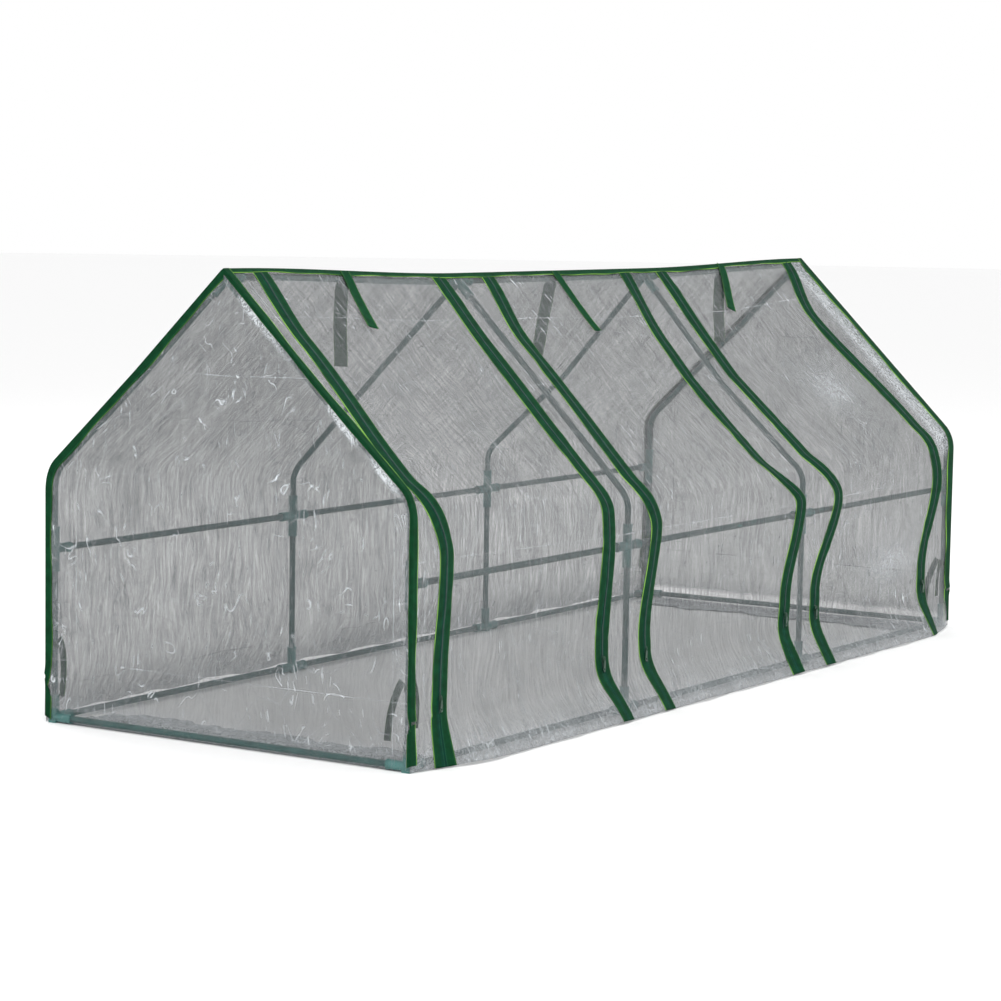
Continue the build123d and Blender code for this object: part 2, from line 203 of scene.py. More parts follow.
GIRTHS = np.linspace(0, HEM, 1600)
HEADINGS = np.interp(
    GIRTHS,
    [0, SLOPE_END, EAVE_END, FLARE_AT - 0.03, FLARE_AT + 0.03, HEM],
    [PITCH, PITCH, pi / 2, pi / 2, radians(62), radians(60)],
)
STEP = GIRTHS[1]
PROFILE_Y = np.concatenate([[0], np.cumsum((np.cos(HEADINGS[1:]) + np.cos(HEADINGS[:-1])) / 2 * STEP)])
PROFILE_Z = APEX - np.concatenate([[0], np.cumsum((np.sin(HEADINGS[1:]) + np.sin(HEADINGS[:-1])) / 2 * STEP)])


def settle(points):
    """Lowers points as the roof has settled: the hoops' values, eased along the ridge, straight down the
    slope, and fading out below the eave."""
    x, y, z = points[..., 0], np.abs(points[..., 1]), points[..., 2]
    down = np.minimum(y / cos(PITCH), 0.6)
    at_hoop = [np.interp(down, SETTLED_AT, row) for row in SETTLED]
    drop = at_hoop[0]
    for left, right, value, following in zip(HOOPS, HOOPS[1:], at_hoop, at_hoop[1:]):
        share = ease(x, left, right)
        drop = np.where(x > left, value * (1 - share) + following * share, drop)
    moved = points.copy()
    moved[..., 2] += drop * ease(z, 0.33, 0.5)
    return moved


def cover(x, girth, out):
    """Points on the cover: girth is measured from the ridge down the front, or down the back where it is
    negative.
    The outline is the running sum of its heading, and out is added square to it, mitred at the ridge.
    The skirt spreads less towards the two ends."""
    x, girth, out = np.broadcast_arrays(np.asarray(x, float), girth, out)
    side, down = np.where(girth < 0, 1.0, -1.0), np.abs(girth)
    heading = np.interp(down, GIRTHS, HEADINGS)
    y = np.interp(down, GIRTHS, PROFILE_Y) + out * np.sin(heading)
    z = np.interp(down, GIRTHS, PROFILE_Z) + out * np.cos(heading)
    z = np.where(y < 0, APEX + out / cos(PITCH), z)
    spread_out = np.where(y > WALL + 0.004, ease(END_FACE - np.abs(x), -0.02, 0.22), 1.0)
    y = np.where(down > EAVE_END, WALL + out + (y - WALL - out) * spread_out, y)
    z = np.where(down > FLARE_AT, np.maximum(z, 0.0018), z)
    return settle(np.stack([x, side * np.maximum(y, 0), z], axis=-1))


def crease_lines(seed, count, x_range, v_range, slant):
    """Random straight creases as middle points, directions, half lengths and widths, mostly running down
    the sheet."""
    draw = np.random.default_rng(seed)
    middle = np.stack([draw.uniform(*x_range, count), draw.uniform(*v_range, count)])
    turn = draw.normal(0, slant, count)
    half, width = draw.uniform(0.03, 0.16, count), draw.uniform(0.007, 0.013, count)
    return middle, np.stack([np.sin(turn), np.cos(turn)]), half, width, draw.choice([-1.0, 1.0], count)


def creases(x, v, lines):
    """Sum of soft ridges: each falls off with the square of the distance from its line and ends softly."""
    total = np.zeros(np.broadcast(x, v).shape)
    middle, along, half, width, sign = lines
    for i in range(len(half)):
        dx, dv = x - middle[0, i], v - middle[1, i]
        run = dx * along[0, i] + dv * along[1, i]
        off = dx * along[1, i] - dv * along[0, i]
        total += sign[i] * np.exp(-((off / width[i]) ** 2)) * (1 - ease(np.abs(run), half[i] * 0.4, half[i]))
    return total


DRAW = np.random.default_rng(11)
RIPPLES = [(DRAW.uniform(2.5, 7), DRAW.uniform(-2.4, 2.4), DRAW.uniform(0, 6.3)) for _ in range(9)]
COVER_CREASES = {
    side: crease_lines(
        seed, 150, (-END_FACE, END_FACE), (0.03, HEM - 0.03), 0.55,
    ) for side, seed in ((1, 3), (-1, 8))
}


def lift(x, girth):
    """How far the film stands out from the taut cover: a hollow between the hoops, long ripples in nine
    directions,
    soft creases, and a frill that grows towards the hem. It comes to nothing at the ridge and the ends."""
    s = bpy.context.scene.cover_settings
    x, girth = np.broadcast_arrays(np.asarray(x, float), girth)
    down = np.abs(girth)
    share = ((x - HOOPS[0]) / (HOOPS[1] - HOOPS[0])) % 1
    hollow = np.sin(pi * share) ** 2
    roof = np.sin(pi * np.clip(down / 0.62, 0, 1)) ** 0.8
    wall = np.sin(pi * np.clip((down - 0.62) / 0.46, 0, 1))
    out = -s.drape * hollow * roof - 0.3 * s.drape * hollow * wall
    turn = np.where(girth < 0, 2.1, 0.0)
    waves = sum(np.sin(
        2 * pi * (a * x + b * down) + c + turn * (i + 1)
    ) for i, (a, b, c) in enumerate(RIPPLES))
    fine = np.where(girth < 0, creases(x, down, COVER_CREASES[-1]), creases(x, down, COVER_CREASES[1]))
    edge = ease(down, 0.012, 0.08) * ease(END_FACE - np.abs(x), 0.01, 0.07)
    out = out + edge * (s.ripple * waves * 0.6 + s.crease * fine)
    frill = 0.0035 * (
        1 + np.sin(2 * pi * 3.7 * x + 1.3 * np.sin(9 * x) + turn)
    ) + 0.0015 * (1 + np.sin(2 * pi * 11 * x))
    return out + frill * ease(down, FLARE_AT - 0.02, HEM) * ease(END_FACE - np.abs(x), 0, 0.05)


def zip_line(number, right, girth):
    """Where a zip runs along the ridge at each girth: its CAD place plus its sway, eased from each place
    to the next."""
    sway = np.array(SWAY[number, right]) / 100
    down = np.abs(girth)
    steps = sum(step * ease(down, low, high) for step, low, high in zip(np.diff(sway), SWAY_AT, SWAY_AT[1:]))
    return ZIPS[number - 1][right] + sway[0] + steps


# ---------------------------------------------------------------- meshes


def quads(rows, columns, start=0, around=False):
    """Faces of a grid of points in rows, closed around each row where the row is a ring."""
    index = np.arange(rows * columns).reshape(rows, columns) + start
    following = np.roll(index, -1, axis=1)
    here, there = (index, following) if around else (index[:, :-1], index[:, 1:])
    return np.stack([here[:-1], there[:-1], there[1:], here[1:]], axis=-1).reshape(-1, 4)


def make_piece(name, parts, material, body="root", slot=None, replaces=(), smooth=True, uv=None, marks=None):
    """One mesh object from (points, faces, caps) parts, with its points in place, its material and its CAD
    body."""
    points, faces, count = [], [], 0
    for part_points, part_faces, caps in parts:
        flat = np.asarray(part_points, float).reshape(-1, 3)
        points.append(flat)
        faces += (part_faces + count).tolist() + [[i + count for i in cap] for cap in caps]
        count += len(flat)
    mesh = bpy.data.meshes.new(name)
    mesh.from_pydata(np.concatenate(points).tolist(), [], faces)
    if uv is not None:
        corners = np.zeros(len(mesh.loops), np.int32)
        mesh.loops.foreach_get("vertex_index", corners)
        layer = mesh.uv_layers.new(name="UVMap")
        layer.data.foreach_set("uv", np.asarray(uv, np.float32).reshape(-1, 2)[corners].ravel())
    for mark, values in (marks or {}).items():
        mesh.attributes.new(mark, "FLOAT", "POINT").data.foreach_set(
            "value", np.asarray(values, np.float32).ravel(),
        )
    mesh.polygons.foreach_set("use_smooth", [smooth] * len(mesh.polygons))
    mesh.materials.append(material)
    mesh.update()
    piece = bpy.data.objects.new(name, mesh)
    bpy.context.scene.collection.objects.link(piece)
    if body:
        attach(piece, body)
    if replaces:
        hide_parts(*replaces)
    return piece


def thicken(piece, thickness, offset):
    """Gives a sheet its thickness, on the side of its normals where offset is 1."""
    wall = piece.modifiers.new("Thickness", "SOLIDIFY")
    wall.thickness = thickness
    wall.offset = offset
    return piece


def spread(low, high, spacing):
    """Even steps from low to high, about spacing apart."""
    return np.linspace(low, high, max(2, int(round((high - low) / spacing)) + 1))


def sheet_grid(left, right, girth, spacing, flip):
    """A sheet between two lines down the cover: straight across from left to right at each girth, and
    lifted as the film is."""
    columns = max(3, int(round((right - left).max() / spacing)) + 1)
    share = np.linspace(0, 1, columns)
    x = left[:, None] * (1 - share) + right[:, None] * share
    down = np.repeat(girth[:, None], columns, axis=1)
    points = cover(x, down, lift(x, down))
    faces = quads(len(girth), columns)
    return points, faces[:, ::-1] if flip else faces, np.stack([x, down], axis=-1)


def join_grids(grids):
    """The parts and the texture coordinates of several grids that become one piece."""
    return [(p, f, []) for p, f, _ in grids], np.concatenate([uv.reshape(-1, 2) for _, _, uv in grids])


def band_grid(line, girth, from_x, to_x, out, piping=(1.0, 0.5), crown=0.0):
    """A tape that follows a line down the cover, from from_x to to_x beside it and out above the film.
    Each point knows its distance from the nearest edge and how bright the thread at that edge is."""
    share = np.array([0, 0.05, 0.1, 0.3, 0.5, 0.7, 0.9, 0.95, 1])
    offset = from_x + share * (to_x - from_x)
    x = line[:, None] + offset
    down = np.repeat(girth[:, None], len(share), axis=1)
    height = lift(x, down) + out + crown * np.sin(pi * share)
    points = cover(x, down, height)
    edge = np.minimum(share, 1 - share) * (to_x - from_x)
    bright = np.where(share < 0.5, piping[0], piping[1])
    rows = len(girth)
    marks = {
        "edge": np.tile(edge, rows), "piping": np.tile(bright, rows),
        "middle": np.repeat(np.abs(offset)[None], rows, 0).ravel(),
    }
    return points, quads(rows, len(share)), np.stack([x, down], axis=-1), marks


def path_frames(path, up):
    """The two directions square to a path, kept level with up."""
    tangent = np.gradient(path, axis=0)
    tangent /= np.linalg.norm(tangent, axis=1, keepdims=True)
    side = np.cross(tangent, up)
    side /= np.linalg.norm(side, axis=1, keepdims=True)
    return side, np.cross(side, tangent)


def round_bar(path, radii, sides, up=(1, 0, 0), closed_ends=True):
    """A round bar: a circle of the given radii carried along the path, with its ends closed."""
    side, other = path_frames(path, np.array(up, float))
    angle = np.linspace(0, 2 * pi, sides, endpoint=False)
    ring = side[:, None] * np.cos(angle)[None, :, None] + other[:, None] * np.sin(angle)[None, :, None]
    points = path[:, None] + ring * np.broadcast_to(radii, len(path))[:, None, None]
    faces = quads(len(path), sides, around=True)
    last = len(path) * sides
    caps = [list(range(sides))[::-1], list(range(last - sides, last))] if closed_ends else []
    return points, faces, caps


def ribbon(path, across, half, curl=0.0):
    """A flat ribbon: a short line across, carried along the path. Its edges curl up by curl."""
    share = np.array([-1, -0.9, -0.8, -0.4, 0, 0.4, 0.8, 0.9, 1])
    tangent = np.gradient(path, axis=0)
    tangent /= np.linalg.norm(tangent, axis=1, keepdims=True)
    across = across - np.sum(across * tangent, axis=1, keepdims=True) * tangent
    across /= np.linalg.norm(across, axis=1, keepdims=True)
    normal = np.cross(tangent, across)
    points = path[:, None] + across[:, None] * (share * half)[None, :, None]
    points = points + normal[:, None] * (curl * share**2)[None, :, None]
    rows = len(path)
    run = np.concatenate([[0], np.cumsum(np.linalg.norm(np.diff(path, axis=0), axis=1))])
    uv = np.stack(np.broadcast_arrays(share[None] * half, run[:, None]), axis=-1)
    marks = {
        "edge": np.tile((1 - np.abs(share)) * half, rows),
        "piping": np.full(rows * len(share), 0.25),
        "middle": np.full(rows * len(share), 1.0),
    }
    return points, quads(rows, len(share)), uv, marks


def join_strips(strips):
    """The parts, texture coordinates and edge marks of several strips that become one piece."""
    parts = [(p, f, []) for p, f, _, _ in strips]
    uv = np.concatenate([uv.reshape(-1, 2) for _, _, uv, _ in strips])
    marks = {key: np.concatenate([m[key] for _, _, _, m in strips]) for key in strips[0][3]}
    return {"parts": parts, "uv": uv, "marks": marks}


# ---------------------------------------------------------------- materials


def add(tree, kind, inputs=None, **settings):
    """Adds one node with its own settings. Its inputs take values, sockets, or nodes for their first
    outputs."""
    made = tree.nodes.new("ShaderNode" + kind)
    for key, value in settings.items():
        setattr(made, key, value)
    for key, value in (inputs or {}).items():
        if isinstance(value, bpy.types.Node):
            value = value.outputs[0]
        if isinstance(value, bpy.types.NodeSocket):
            tree.links.new(value, made.inputs[key])
        else:
            made.inputs[key].default_value = value
    return made


def start_material(name):
    """A new material with a shader linked to its output."""
    material = bpy.data.materials.get(name)
    if material:
        return material, None, None
    material = bpy.data.materials.new(name)
    material.use_nodes = True
    tree = material.node_tree
    tree.nodes.clear()
    shader = add(tree, "BsdfPrincipled")
    add(tree, "OutputMaterial", {"Surface": shader})
    return material, tree, shader


def level_lines(tree, noise, width):
    """Thin lines where a noise crosses its middle: 1 on the line, falling to 0 at width to either side."""
    off = add(tree, "Math", {0: noise, 1: 0.5}, operation="SUBTRACT")
    off = add(tree, "Math", {0: off}, operation="ABSOLUTE")
    return add(tree, "MapRange", {0: off, 1: 0.0, 2: width, 3: 1.0, 4: 0.0})


def film_material(name="pvc_film_creased", highlight_strokes=0.12, streaks=1.0):
    """Plasticised PVC film, calendered thin and folded flat in its packet: clear with a grey haze. Hairline
    scuffs that run down the sheet, fold creases and crinkled places carry a painted white highlight where
    light would catch them."""
    material, tree, shader = start_material(name)
    if tree is None:
        return material
    s = bpy.context.scene.cover_settings
    place = add(tree, "UVMap", uv_map="UVMap").outputs[0]
    drift = add(tree, "TexNoise", {"Vector": place, "Scale": 7.0, "Detail": 2.0})
    bent = add(tree, "VectorMath", {0: drift.outputs["Color"], 1: (0.06, 0.06, 0)}, operation="MULTIPLY")
    moved = add(tree, "VectorMath", {0: place, 1: bent}, operation="ADD").outputs[0]

    # Hairlines: level lines of a noise that is drawn out along the sheet, 10 mm apart and a few hundred long.
    # They are painted as white highlight streaks and raised in the bump.
    hair = add(tree, "Mapping", {"Vector": moved, "Scale": (62.0, 6.0, 1.0)})
    hair = add(tree, "TexNoise", {"Vector": hair, "Scale": 1.0, "Detail": 3.0, "Roughness": 0.6})
    hair = level_lines(tree, hair, 0.022)

    # Short glints: the highest peaks of a finer drawn-out noise, about 3 mm wide and 30 mm long.
    glint = add(tree, "Mapping", {"Vector": moved, "Scale": (150.0, 22.0, 1.0), "Rotation": (0, 0, 0.25)})
    glint = add(tree, "TexNoise", {"Vector": glint, "Scale": 1.0, "Detail": 2.0})
    glint = add(tree, "MapRange", {0: glint, 1: 0.62, 2: 0.72, 3: 0.0, 4: 1.0})

    # Fold creases: the edges of irregular cells about 110 mm across, as thin lines, painted as white
    # highlights and raised in the bump.
    fold = add(
        tree, "TexVoronoi", {"Vector": moved, "Scale": 9.0}, feature="DISTANCE_TO_EDGE",
        voronoi_dimensions="2D",
    )
    fold = add(tree, "MapRange", {0: fold, 1: 0.0, 2: 0.022, 3: 1.0, 4: 0.0})
    small = add(
        tree, "TexNoise",
        {"Vector": moved, "Scale": 75.0, "Detail": 5.0, "Roughness": 0.7, "Distortion": 1.2},
        noise_dimensions="2D",
    )
    small = level_lines(tree, small, 0.06)

    # Packet folds: straight thin lines 0.38 m apart one way and 0.29 m the other, where the film lay folded,
    # painted as white highlights.
    across = add(tree, "SeparateXYZ", {0: place})
    folds = []
    for axis, apart, start in ((0, 0.38, 0.36), (1, 0.29, 0.13)):
        line = add(tree, "Math", {0: across.outputs[axis], 1: start}, operation="SUBTRACT")
        line = add(tree, "Math", {0: line, 1: apart}, operation="PINGPONG")
        folds.append(add(tree, "MapRange", {0: line, 1: 0.0004, 2: 0.0016, 3: 1.0, 4: 0.0}).outputs[0])
    packet = add(tree, "Math", {0: folds[0], 1: folds[1]}, operation="MAXIMUM")

    # Cloudy patches decide where the creases carry their painted white highlight, and thicken the haze.
    patch = add(tree, "TexNoise", {"Vector": place, "Scale": 5.5, "Detail": 4.0, "Roughness": 0.65})
    patch = add(tree, "MapRange", {0: patch, 1: 0.42, 2: 0.68, 3: 0.0, 4: 1.0})
    # This attribute marks where the film is crumpled in the bump and painted with white highlight.
    crinkle_and_highlight = add(tree, "Attribute", attribute_name="crinkle_and_highlight").outputs["Fac"]
    wetted = add(tree, "Attribute", attribute_name="wetted").outputs["Fac"]

    # Stroke marks: short stretches of the level lines of a coarse noise, where a second noise lets them show.
    # They are painted as white highlight strokes.
    mark = add(
        tree, "TexNoise", {"Vector": moved, "Scale": 13.0, "Detail": 2.0, "Distortion": 0.8},
        noise_dimensions="2D",
    )
    mark = level_lines(tree, mark, 0.016)
    let = add(tree, "TexNoise", {"Vector": place, "Scale": 19.0, "Detail": 2.0}, noise_dimensions="2D")
    let = add(tree, "MapRange", {0: let, 1: 0.57, 2: 0.66, 3: 0.0, 4: 1.0})
    mark = add(tree, "Math", {0: mark, 1: let}, operation="MULTIPLY")
    mark = add(tree, "Math", {0: mark, 1: highlight_strokes}, operation="MULTIPLY")

    # The painted highlight mask: hairlines, fold creases, glints, packet folds, crinkled places and strokes,
    # painted white where light would catch them.
    lines = add(tree, "Math", {0: hair, 1: 0.36 * streaks}, operation="MULTIPLY")
    lines = add(tree, "Math", {0: fold, 1: 0.26, 2: lines}, operation="MULTIPLY_ADD")
    lines = add(tree, "Math", {0: glint, 1: 0.6, 2: lines}, operation="MULTIPLY_ADD")
    lines = add(tree, "Math", {0: packet, 1: 0.45, 2: lines}, operation="MULTIPLY_ADD")
    shown = add(tree, "Math", {0: patch, 1: 0.65, 2: 0.35}, operation="MULTIPLY_ADD")
    lines = add(tree, "Math", {0: lines, 1: shown}, operation="MULTIPLY")
    mesh = add(tree, "Math", {0: small, 1: crinkle_and_highlight}, operation="MULTIPLY")
    painted_highlight = add(tree, "Math", {0: mesh, 1: 1.0, 2: lines}, operation="MULTIPLY_ADD")
    painted_highlight = add(tree, "Math", {0: mark, 1: 0.9, 2: painted_highlight}, operation="MULTIPLY_ADD")
    painted_highlight = add(tree, "Math", {0: crinkle_and_highlight, 1: 0.26, 2: painted_highlight}, operation="MULTIPLY_ADD", use_clamp=True)

    cloud = add(tree, "Math", {0: patch, 1: 0.07, 2: s.opacity - 0.035}, operation="MULTIPLY_ADD")
    # A second set of hairlines, finer and slanted, only dulls the film.
    dull = add(tree, "Mapping", {"Vector": moved, "Scale": (130.0, 11.0, 1.0), "Rotation": (0, 0, 0.5)})
    dull = add(tree, "TexNoise", {"Vector": dull, "Scale": 1.0, "Detail": 4.0, "Roughness": 0.65})
    dull = add(tree, "MapRange", {0: dull, 1: 0.35, 2: 0.7, 3: -0.09 * streaks, 4: 0.14 * streaks})
    cloud = add(tree, "Math", {0: cloud, 1: dull}, operation="ADD")
    clear = add(tree, "Math", {0: painted_highlight, 1: 0.55, 2: cloud}, operation="MULTIPLY_ADD", use_clamp=True)
    clear = add(tree, "Math", {0: clear, 1: wetted}, operation="MULTIPLY")
    # The haze grey turns to the glint white along the painted highlight mask, which also makes the film more
    # opaque there.
    tint = add(tree, "Mix", {0: painted_highlight, 6: (*s.haze, 1), 7: (*s.glint, 1)}, data_type="RGBA")
    rise = add(tree, "Math", {0: hair, 1: streaks}, operation="MULTIPLY")
    rise = add(tree, "Math", {0: fold, 1: 0.6, 2: rise}, operation="MULTIPLY_ADD")
    rise = add(tree, "Math", {0: drift, 1: 3.0, 2: rise}, operation="MULTIPLY_ADD")
    rise = add(tree, "Math", {0: mesh, 1: 2.0, 2: rise}, operation="MULTIPLY_ADD")
    bump = add(tree, "Bump", {"Height": rise, "Strength": 0.5, "Distance": 0.002})
    for key, value in {
        "Base Color": tint.outputs[2], "Alpha": clear.outputs[0], "Normal": bump.outputs[0],
    }.items():
        tree.links.new(value, shader.inputs[key])
    shader.inputs["Roughness"].default_value = 0.2
    shader.inputs["IOR"].default_value = 1.53
    return material


def woven_material(name, green, core):
    """Polyester tape, flat woven and dyed green: matt, with a fine cross weave, a row of stitches
    near each edge and a brighter selvedge thread. The 0.5 mm weave is drawn at 1.6 mm so that it shows."""
    material, tree, shader = start_material(name)
    if tree is None:
        return material
    s = bpy.context.scene.tape_settings
    place = add(tree, "UVMap", uv_map="UVMap").outputs[0]
    edge = add(tree, "Attribute", attribute_name="edge").outputs["Fac"]
    piping = add(tree, "Attribute", attribute_name="piping").outputs["Fac"]
    middle = add(tree, "Attribute", attribute_name="middle").outputs["Fac"]
    axes = add(tree, "SeparateXYZ", {0: place})
    warp = add(tree, "Math", {0: axes, 1: 2 * pi / 0.0016}, operation="MULTIPLY")
    warp = add(tree, "Math", {0: warp}, operation="SINE")
    weft = add(tree, "Math", {0: axes.outputs[1], 1: 2 * pi / 0.0016}, operation="MULTIPLY")
    weft = add(tree, "Math", {0: weft}, operation="SINE")
    weave = add(tree, "Math", {0: warp, 1: weft}, operation="MULTIPLY")

    # Stitches 5 mm long in a row 3 mm in from each edge.
    row = add(tree, "Math", {0: edge, 1: 0.0030, 2: 0.0006}, operation="COMPARE")
    dash = add(tree, "Math", {0: axes.outputs[1], 1: 0.005}, operation="FLOORED_MODULO")
    dash = add(tree, "Math", {0: dash, 1: 0.0034}, operation="LESS_THAN")
    stitch = add(tree, "Math", {0: row, 1: dash}, operation="MULTIPLY")

    # The bright thread shows more in some stretches of the edge than in others.
    fade = add(tree, "TexNoise", {"Vector": place, "Scale": 9.0, "Detail": 1.0})
    fade = add(tree, "MapRange", {0: fade, 1: 0.36, 2: 0.58, 3: 0.15, 4: 1.0})
    thread = add(tree, "MapRange", {0: edge, 1: 0.0010, 2: 0.0016, 3: 1.0, 4: 0.0})
    thread = add(tree, "Math", {0: thread, 1: piping}, operation="MULTIPLY")
    thread = add(tree, "Math", {0: thread, 1: fade}, operation="MULTIPLY")

    wear = add(tree, "TexNoise", {"Vector": place, "Scale": 60.0, "Detail": 3.0})
    wear = add(tree, "MapRange", {0: wear, 1: 0.3, 2: 0.75, 3: 0.55, 4: 1.0})
    centre = add(tree, "MapRange", {0: middle, 1: 0.004, 2: 0.010, 3: 1.0, 4: 0.0})
    dye = add(tree, "Mix", {0: centre, 6: (*green, 1), 7: (*core, 1)}, data_type="RGBA")
    dye = add(tree, "VectorMath", {0: dye.outputs[2], 3: wear}, operation="SCALE")
    lit = add(tree, "Math", {0: stitch, 1: 0.3}, operation="MULTIPLY")
    dye = add(tree, "Mix", {0: lit, 6: dye, 7: (*linear("#3c7d50"), 1)}, data_type="RGBA")
    dye = add(tree, "Mix", {0: thread, 6: dye.outputs[2], 7: (*s.selvedge, 1)}, data_type="RGBA")
    rise = add(tree, "Math", {0: stitch, 1: 2.0, 2: weave}, operation="MULTIPLY_ADD")
    bump = add(tree, "Bump", {"Height": rise, "Strength": 0.4, "Distance": 0.0003})
    tree.links.new(dye.outputs[2], shader.inputs["Base Color"])
    tree.links.new(bump.outputs[0], shader.inputs["Normal"])
    shader.inputs["Roughness"].default_value = 0.78
    shader.inputs["IOR"].default_value = 1.5
    shader.inputs["Specular IOR Level"].default_value = 0.08
    return material


def moulded_material(name, base, roughness, grain, grain_scale=420.0):
    """A moulded or extruded plastic in one colour: slight mottling, fine grain from the mould and dull
    scuffs."""
    material, tree, shader = start_material(name)
    if tree is None:
        return material
    place = add(tree, "TexCoord").outputs["Object"]
    mottle = add(tree, "TexNoise", {"Vector": place, "Scale": 24.0, "Detail": 4.0})
    mottle = add(tree, "MapRange", {0: mottle, 1: 0.3, 2: 0.7, 3: 0.78, 4: 1.22})
    paint = add(tree, "VectorMath", {0: (*base,), 3: mottle}, operation="SCALE")
    scuff = add(tree, "TexNoise", {"Vector": place, "Scale": 90.0, "Detail": 3.0})
    scuff = add(tree, "MapRange", {0: scuff, 1: 0.4, 2: 0.75, 3: roughness, 4: min(1.0, roughness + 0.25)})
    fine = add(tree, "TexNoise", {"Vector": place, "Scale": grain_scale, "Detail": 2.0})
    bump = add(tree, "Bump", {"Height": fine, "Strength": grain, "Distance": 0.0003})
    tree.links.new(paint.outputs[0], shader.inputs["Base Color"])
    tree.links.new(scuff.outputs[0], shader.inputs["Roughness"])
    tree.links.new(bump.outputs[0], shader.inputs["Normal"])
    shader.inputs["IOR"].default_value = 1.5
    return material


def tube_material():
    """Thin steel tube in an extruded polyethylene coat: satin, a little uneven, with dull scuffs."""
    return moulded_material("coated_steel_tube", bpy.context.scene.frame_settings.tube, 0.32, 0.12)


def connector_material():
    """Injection-moulded polypropylene: softer sheen and a fine spark-eroded grain."""
    return moulded_material("moulded_polypropylene", bpy.context.scene.frame_settings.connector, 0.42, 0.3)


def coil_material():
    """Nylon monofilament coil, dyed with the tape: smooth and slightly glossy."""
    return moulded_material("nylon_coil", linear("#0a332a"), 0.6, 0.05)


def slider_material():
    """Die-cast zinc under green enamel: glossy, with softened edges."""
    return moulded_material("enamelled_zinc", linear("#123b29"), 0.22, 0.04)


# ---------------------------------------------------------------- operators


class GREENHOUSE_OT_back_sheet(bpy.types.Operator):
    """Adds the sheet that covers the back roof and wall in one piece"""

    bl_idname = "greenhouse.back_sheet"
    bl_label = "Back sheet"

    def execute(self, context):
        s = context.scene.cover_settings
        girth = -spread(0, HEM, s.grid * 1.25)
        end = np.full(len(girth), END_FACE - 0.0006)
        points, faces, uv = sheet_grid(-end, end, girth, s.grid * 1.25, flip=False)
        down = np.abs(uv[..., 1])
        # Crinkle and painted white highlight along the hem and towards both ends.
        crinkle_and_highlight = 0.5 * ease(down, FLARE_AT, HEM) + 0.35 * ease(np.abs(uv[..., 0]), 1.15, 1.2)
        piece = make_piece("back_sheet", [(points, faces, [])], film_material(), slot="cover_film",
                           replaces=["back_film"], uv=uv, marks={
                               "crinkle_and_highlight": crinkle_and_highlight, "wetted": 1 + 0 * crinkle_and_highlight,
                           })
        thicken(piece, s.film, -1)
        return {"FINISHED"}


class GREENHOUSE_OT_front_sheets(bpy.types.Operator):
    """Adds the film that stays in front: the strips beside the zips and the narrow header over each door"""

    bl_idname = "greenhouse.front_sheets"
    bl_label = "Front sheets"

    def execute(self, context):
        s = context.scene.cover_settings
        half = context.scene.tape_settings.chain_half - 0.0002
        girth = spread(0, HEM, s.grid)
        end = np.full(len(girth), END_FACE - 0.0006)
        edges = [-end]
        for number in (1, 2, 3):
            edges += [zip_line(number, 0, girth) + half, zip_line(number, 1, girth) - half]
        edges.append(end)
        grids = [sheet_grid(a, b, girth, s.grid, flip=True) for a, b in zip(edges[::2], edges[1::2])]
        header = spread(0, DOOR_TOP, 0.004)
        for number in (1, 2, 3):
            left, right = (zip_line(number, side, header) for side in (0, 1))
            grids.append(sheet_grid(left + half, right - half, header, s.grid, flip=True))
        parts, uv = join_grids(grids)
        x, down = uv[:, 0], uv[:, 1]
        # Crinkle and painted white highlight along the hem and in a band beside the far end on the roof.
        crinkle_and_highlight = 0.5 * ease(down, FLARE_AT, HEM) + 0.9 * ease(x, 1.08, 1.13) * (1 - ease(down, 0.6, 0.7))
        piece = make_piece("front_sheets", parts, film_material(), slot="cover_film",
                           replaces=["front_film"], uv=uv, marks={
                               "crinkle_and_highlight": crinkle_and_highlight, "wetted": 1 + 0 * crinkle_and_highlight,
                           })
        thicken(piece, s.film, -1)
        return {"FINISHED"}


class GREENHOUSE_OT_doors(bpy.types.Operator):
    """Adds the three film doors"""

    bl_idname = "greenhouse.doors"
    bl_label = "Doors"

    def execute(self, context):
        s = context.scene.cover_settings
        gap = context.scene.tape_settings.chain_half + 0.0004
        girth = spread(DOOR_TOP, HEM, s.grid)
        for number in (1, 2, 3):
            left, right = (zip_line(number, side, girth) for side in (0, 1))
            points, faces, uv = sheet_grid(left + gap, right - gap, girth, s.grid, flip=True)
            down = uv[..., 1]
            # Crinkle and painted white highlight along the hem and just below the door's top.
            crinkle_and_highlight = 0.5 * ease(down, FLARE_AT, HEM) + 0.25 * (1 - ease(down, 0.02, 0.06))
            # Two crumpled places in the far door, painted with a white highlight.
            for x, v, wide, high in ((0.86, 0.90, 0.13, 0.05), (0.83, 0.40, 0.10, 0.07)):
                crinkle_and_highlight += 0.7 * (number == 3) * np.exp(
                    -(((uv[..., 0] - x) / wide) ** 2) - ((down - v) / high) ** 2
                )
            piece = make_piece(
                f"door_{number}_sheet", [(points, faces, [])], film_material(), body=None, slot="cover_film",
                replaces=[f"door_{number}_roof_film", f"door_{number}_wall_film"],
                uv=uv, marks={"crinkle_and_highlight": crinkle_and_highlight, "wetted": 1 + 0 * crinkle_and_highlight},
            )
            thicken(piece, s.film, -1)
            bend_at_eave(piece)
        return {"FINISHED"}


def bend_at_eave(piece):
    """Works out two points 50 mm either side of the eave fold, which nothing uses, and bakes the piece's
    transform into its points.
    """
    start, end = (cover(0, FOLD + step, 0.0) for step in (-0.05, 0.05))
    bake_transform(piece)


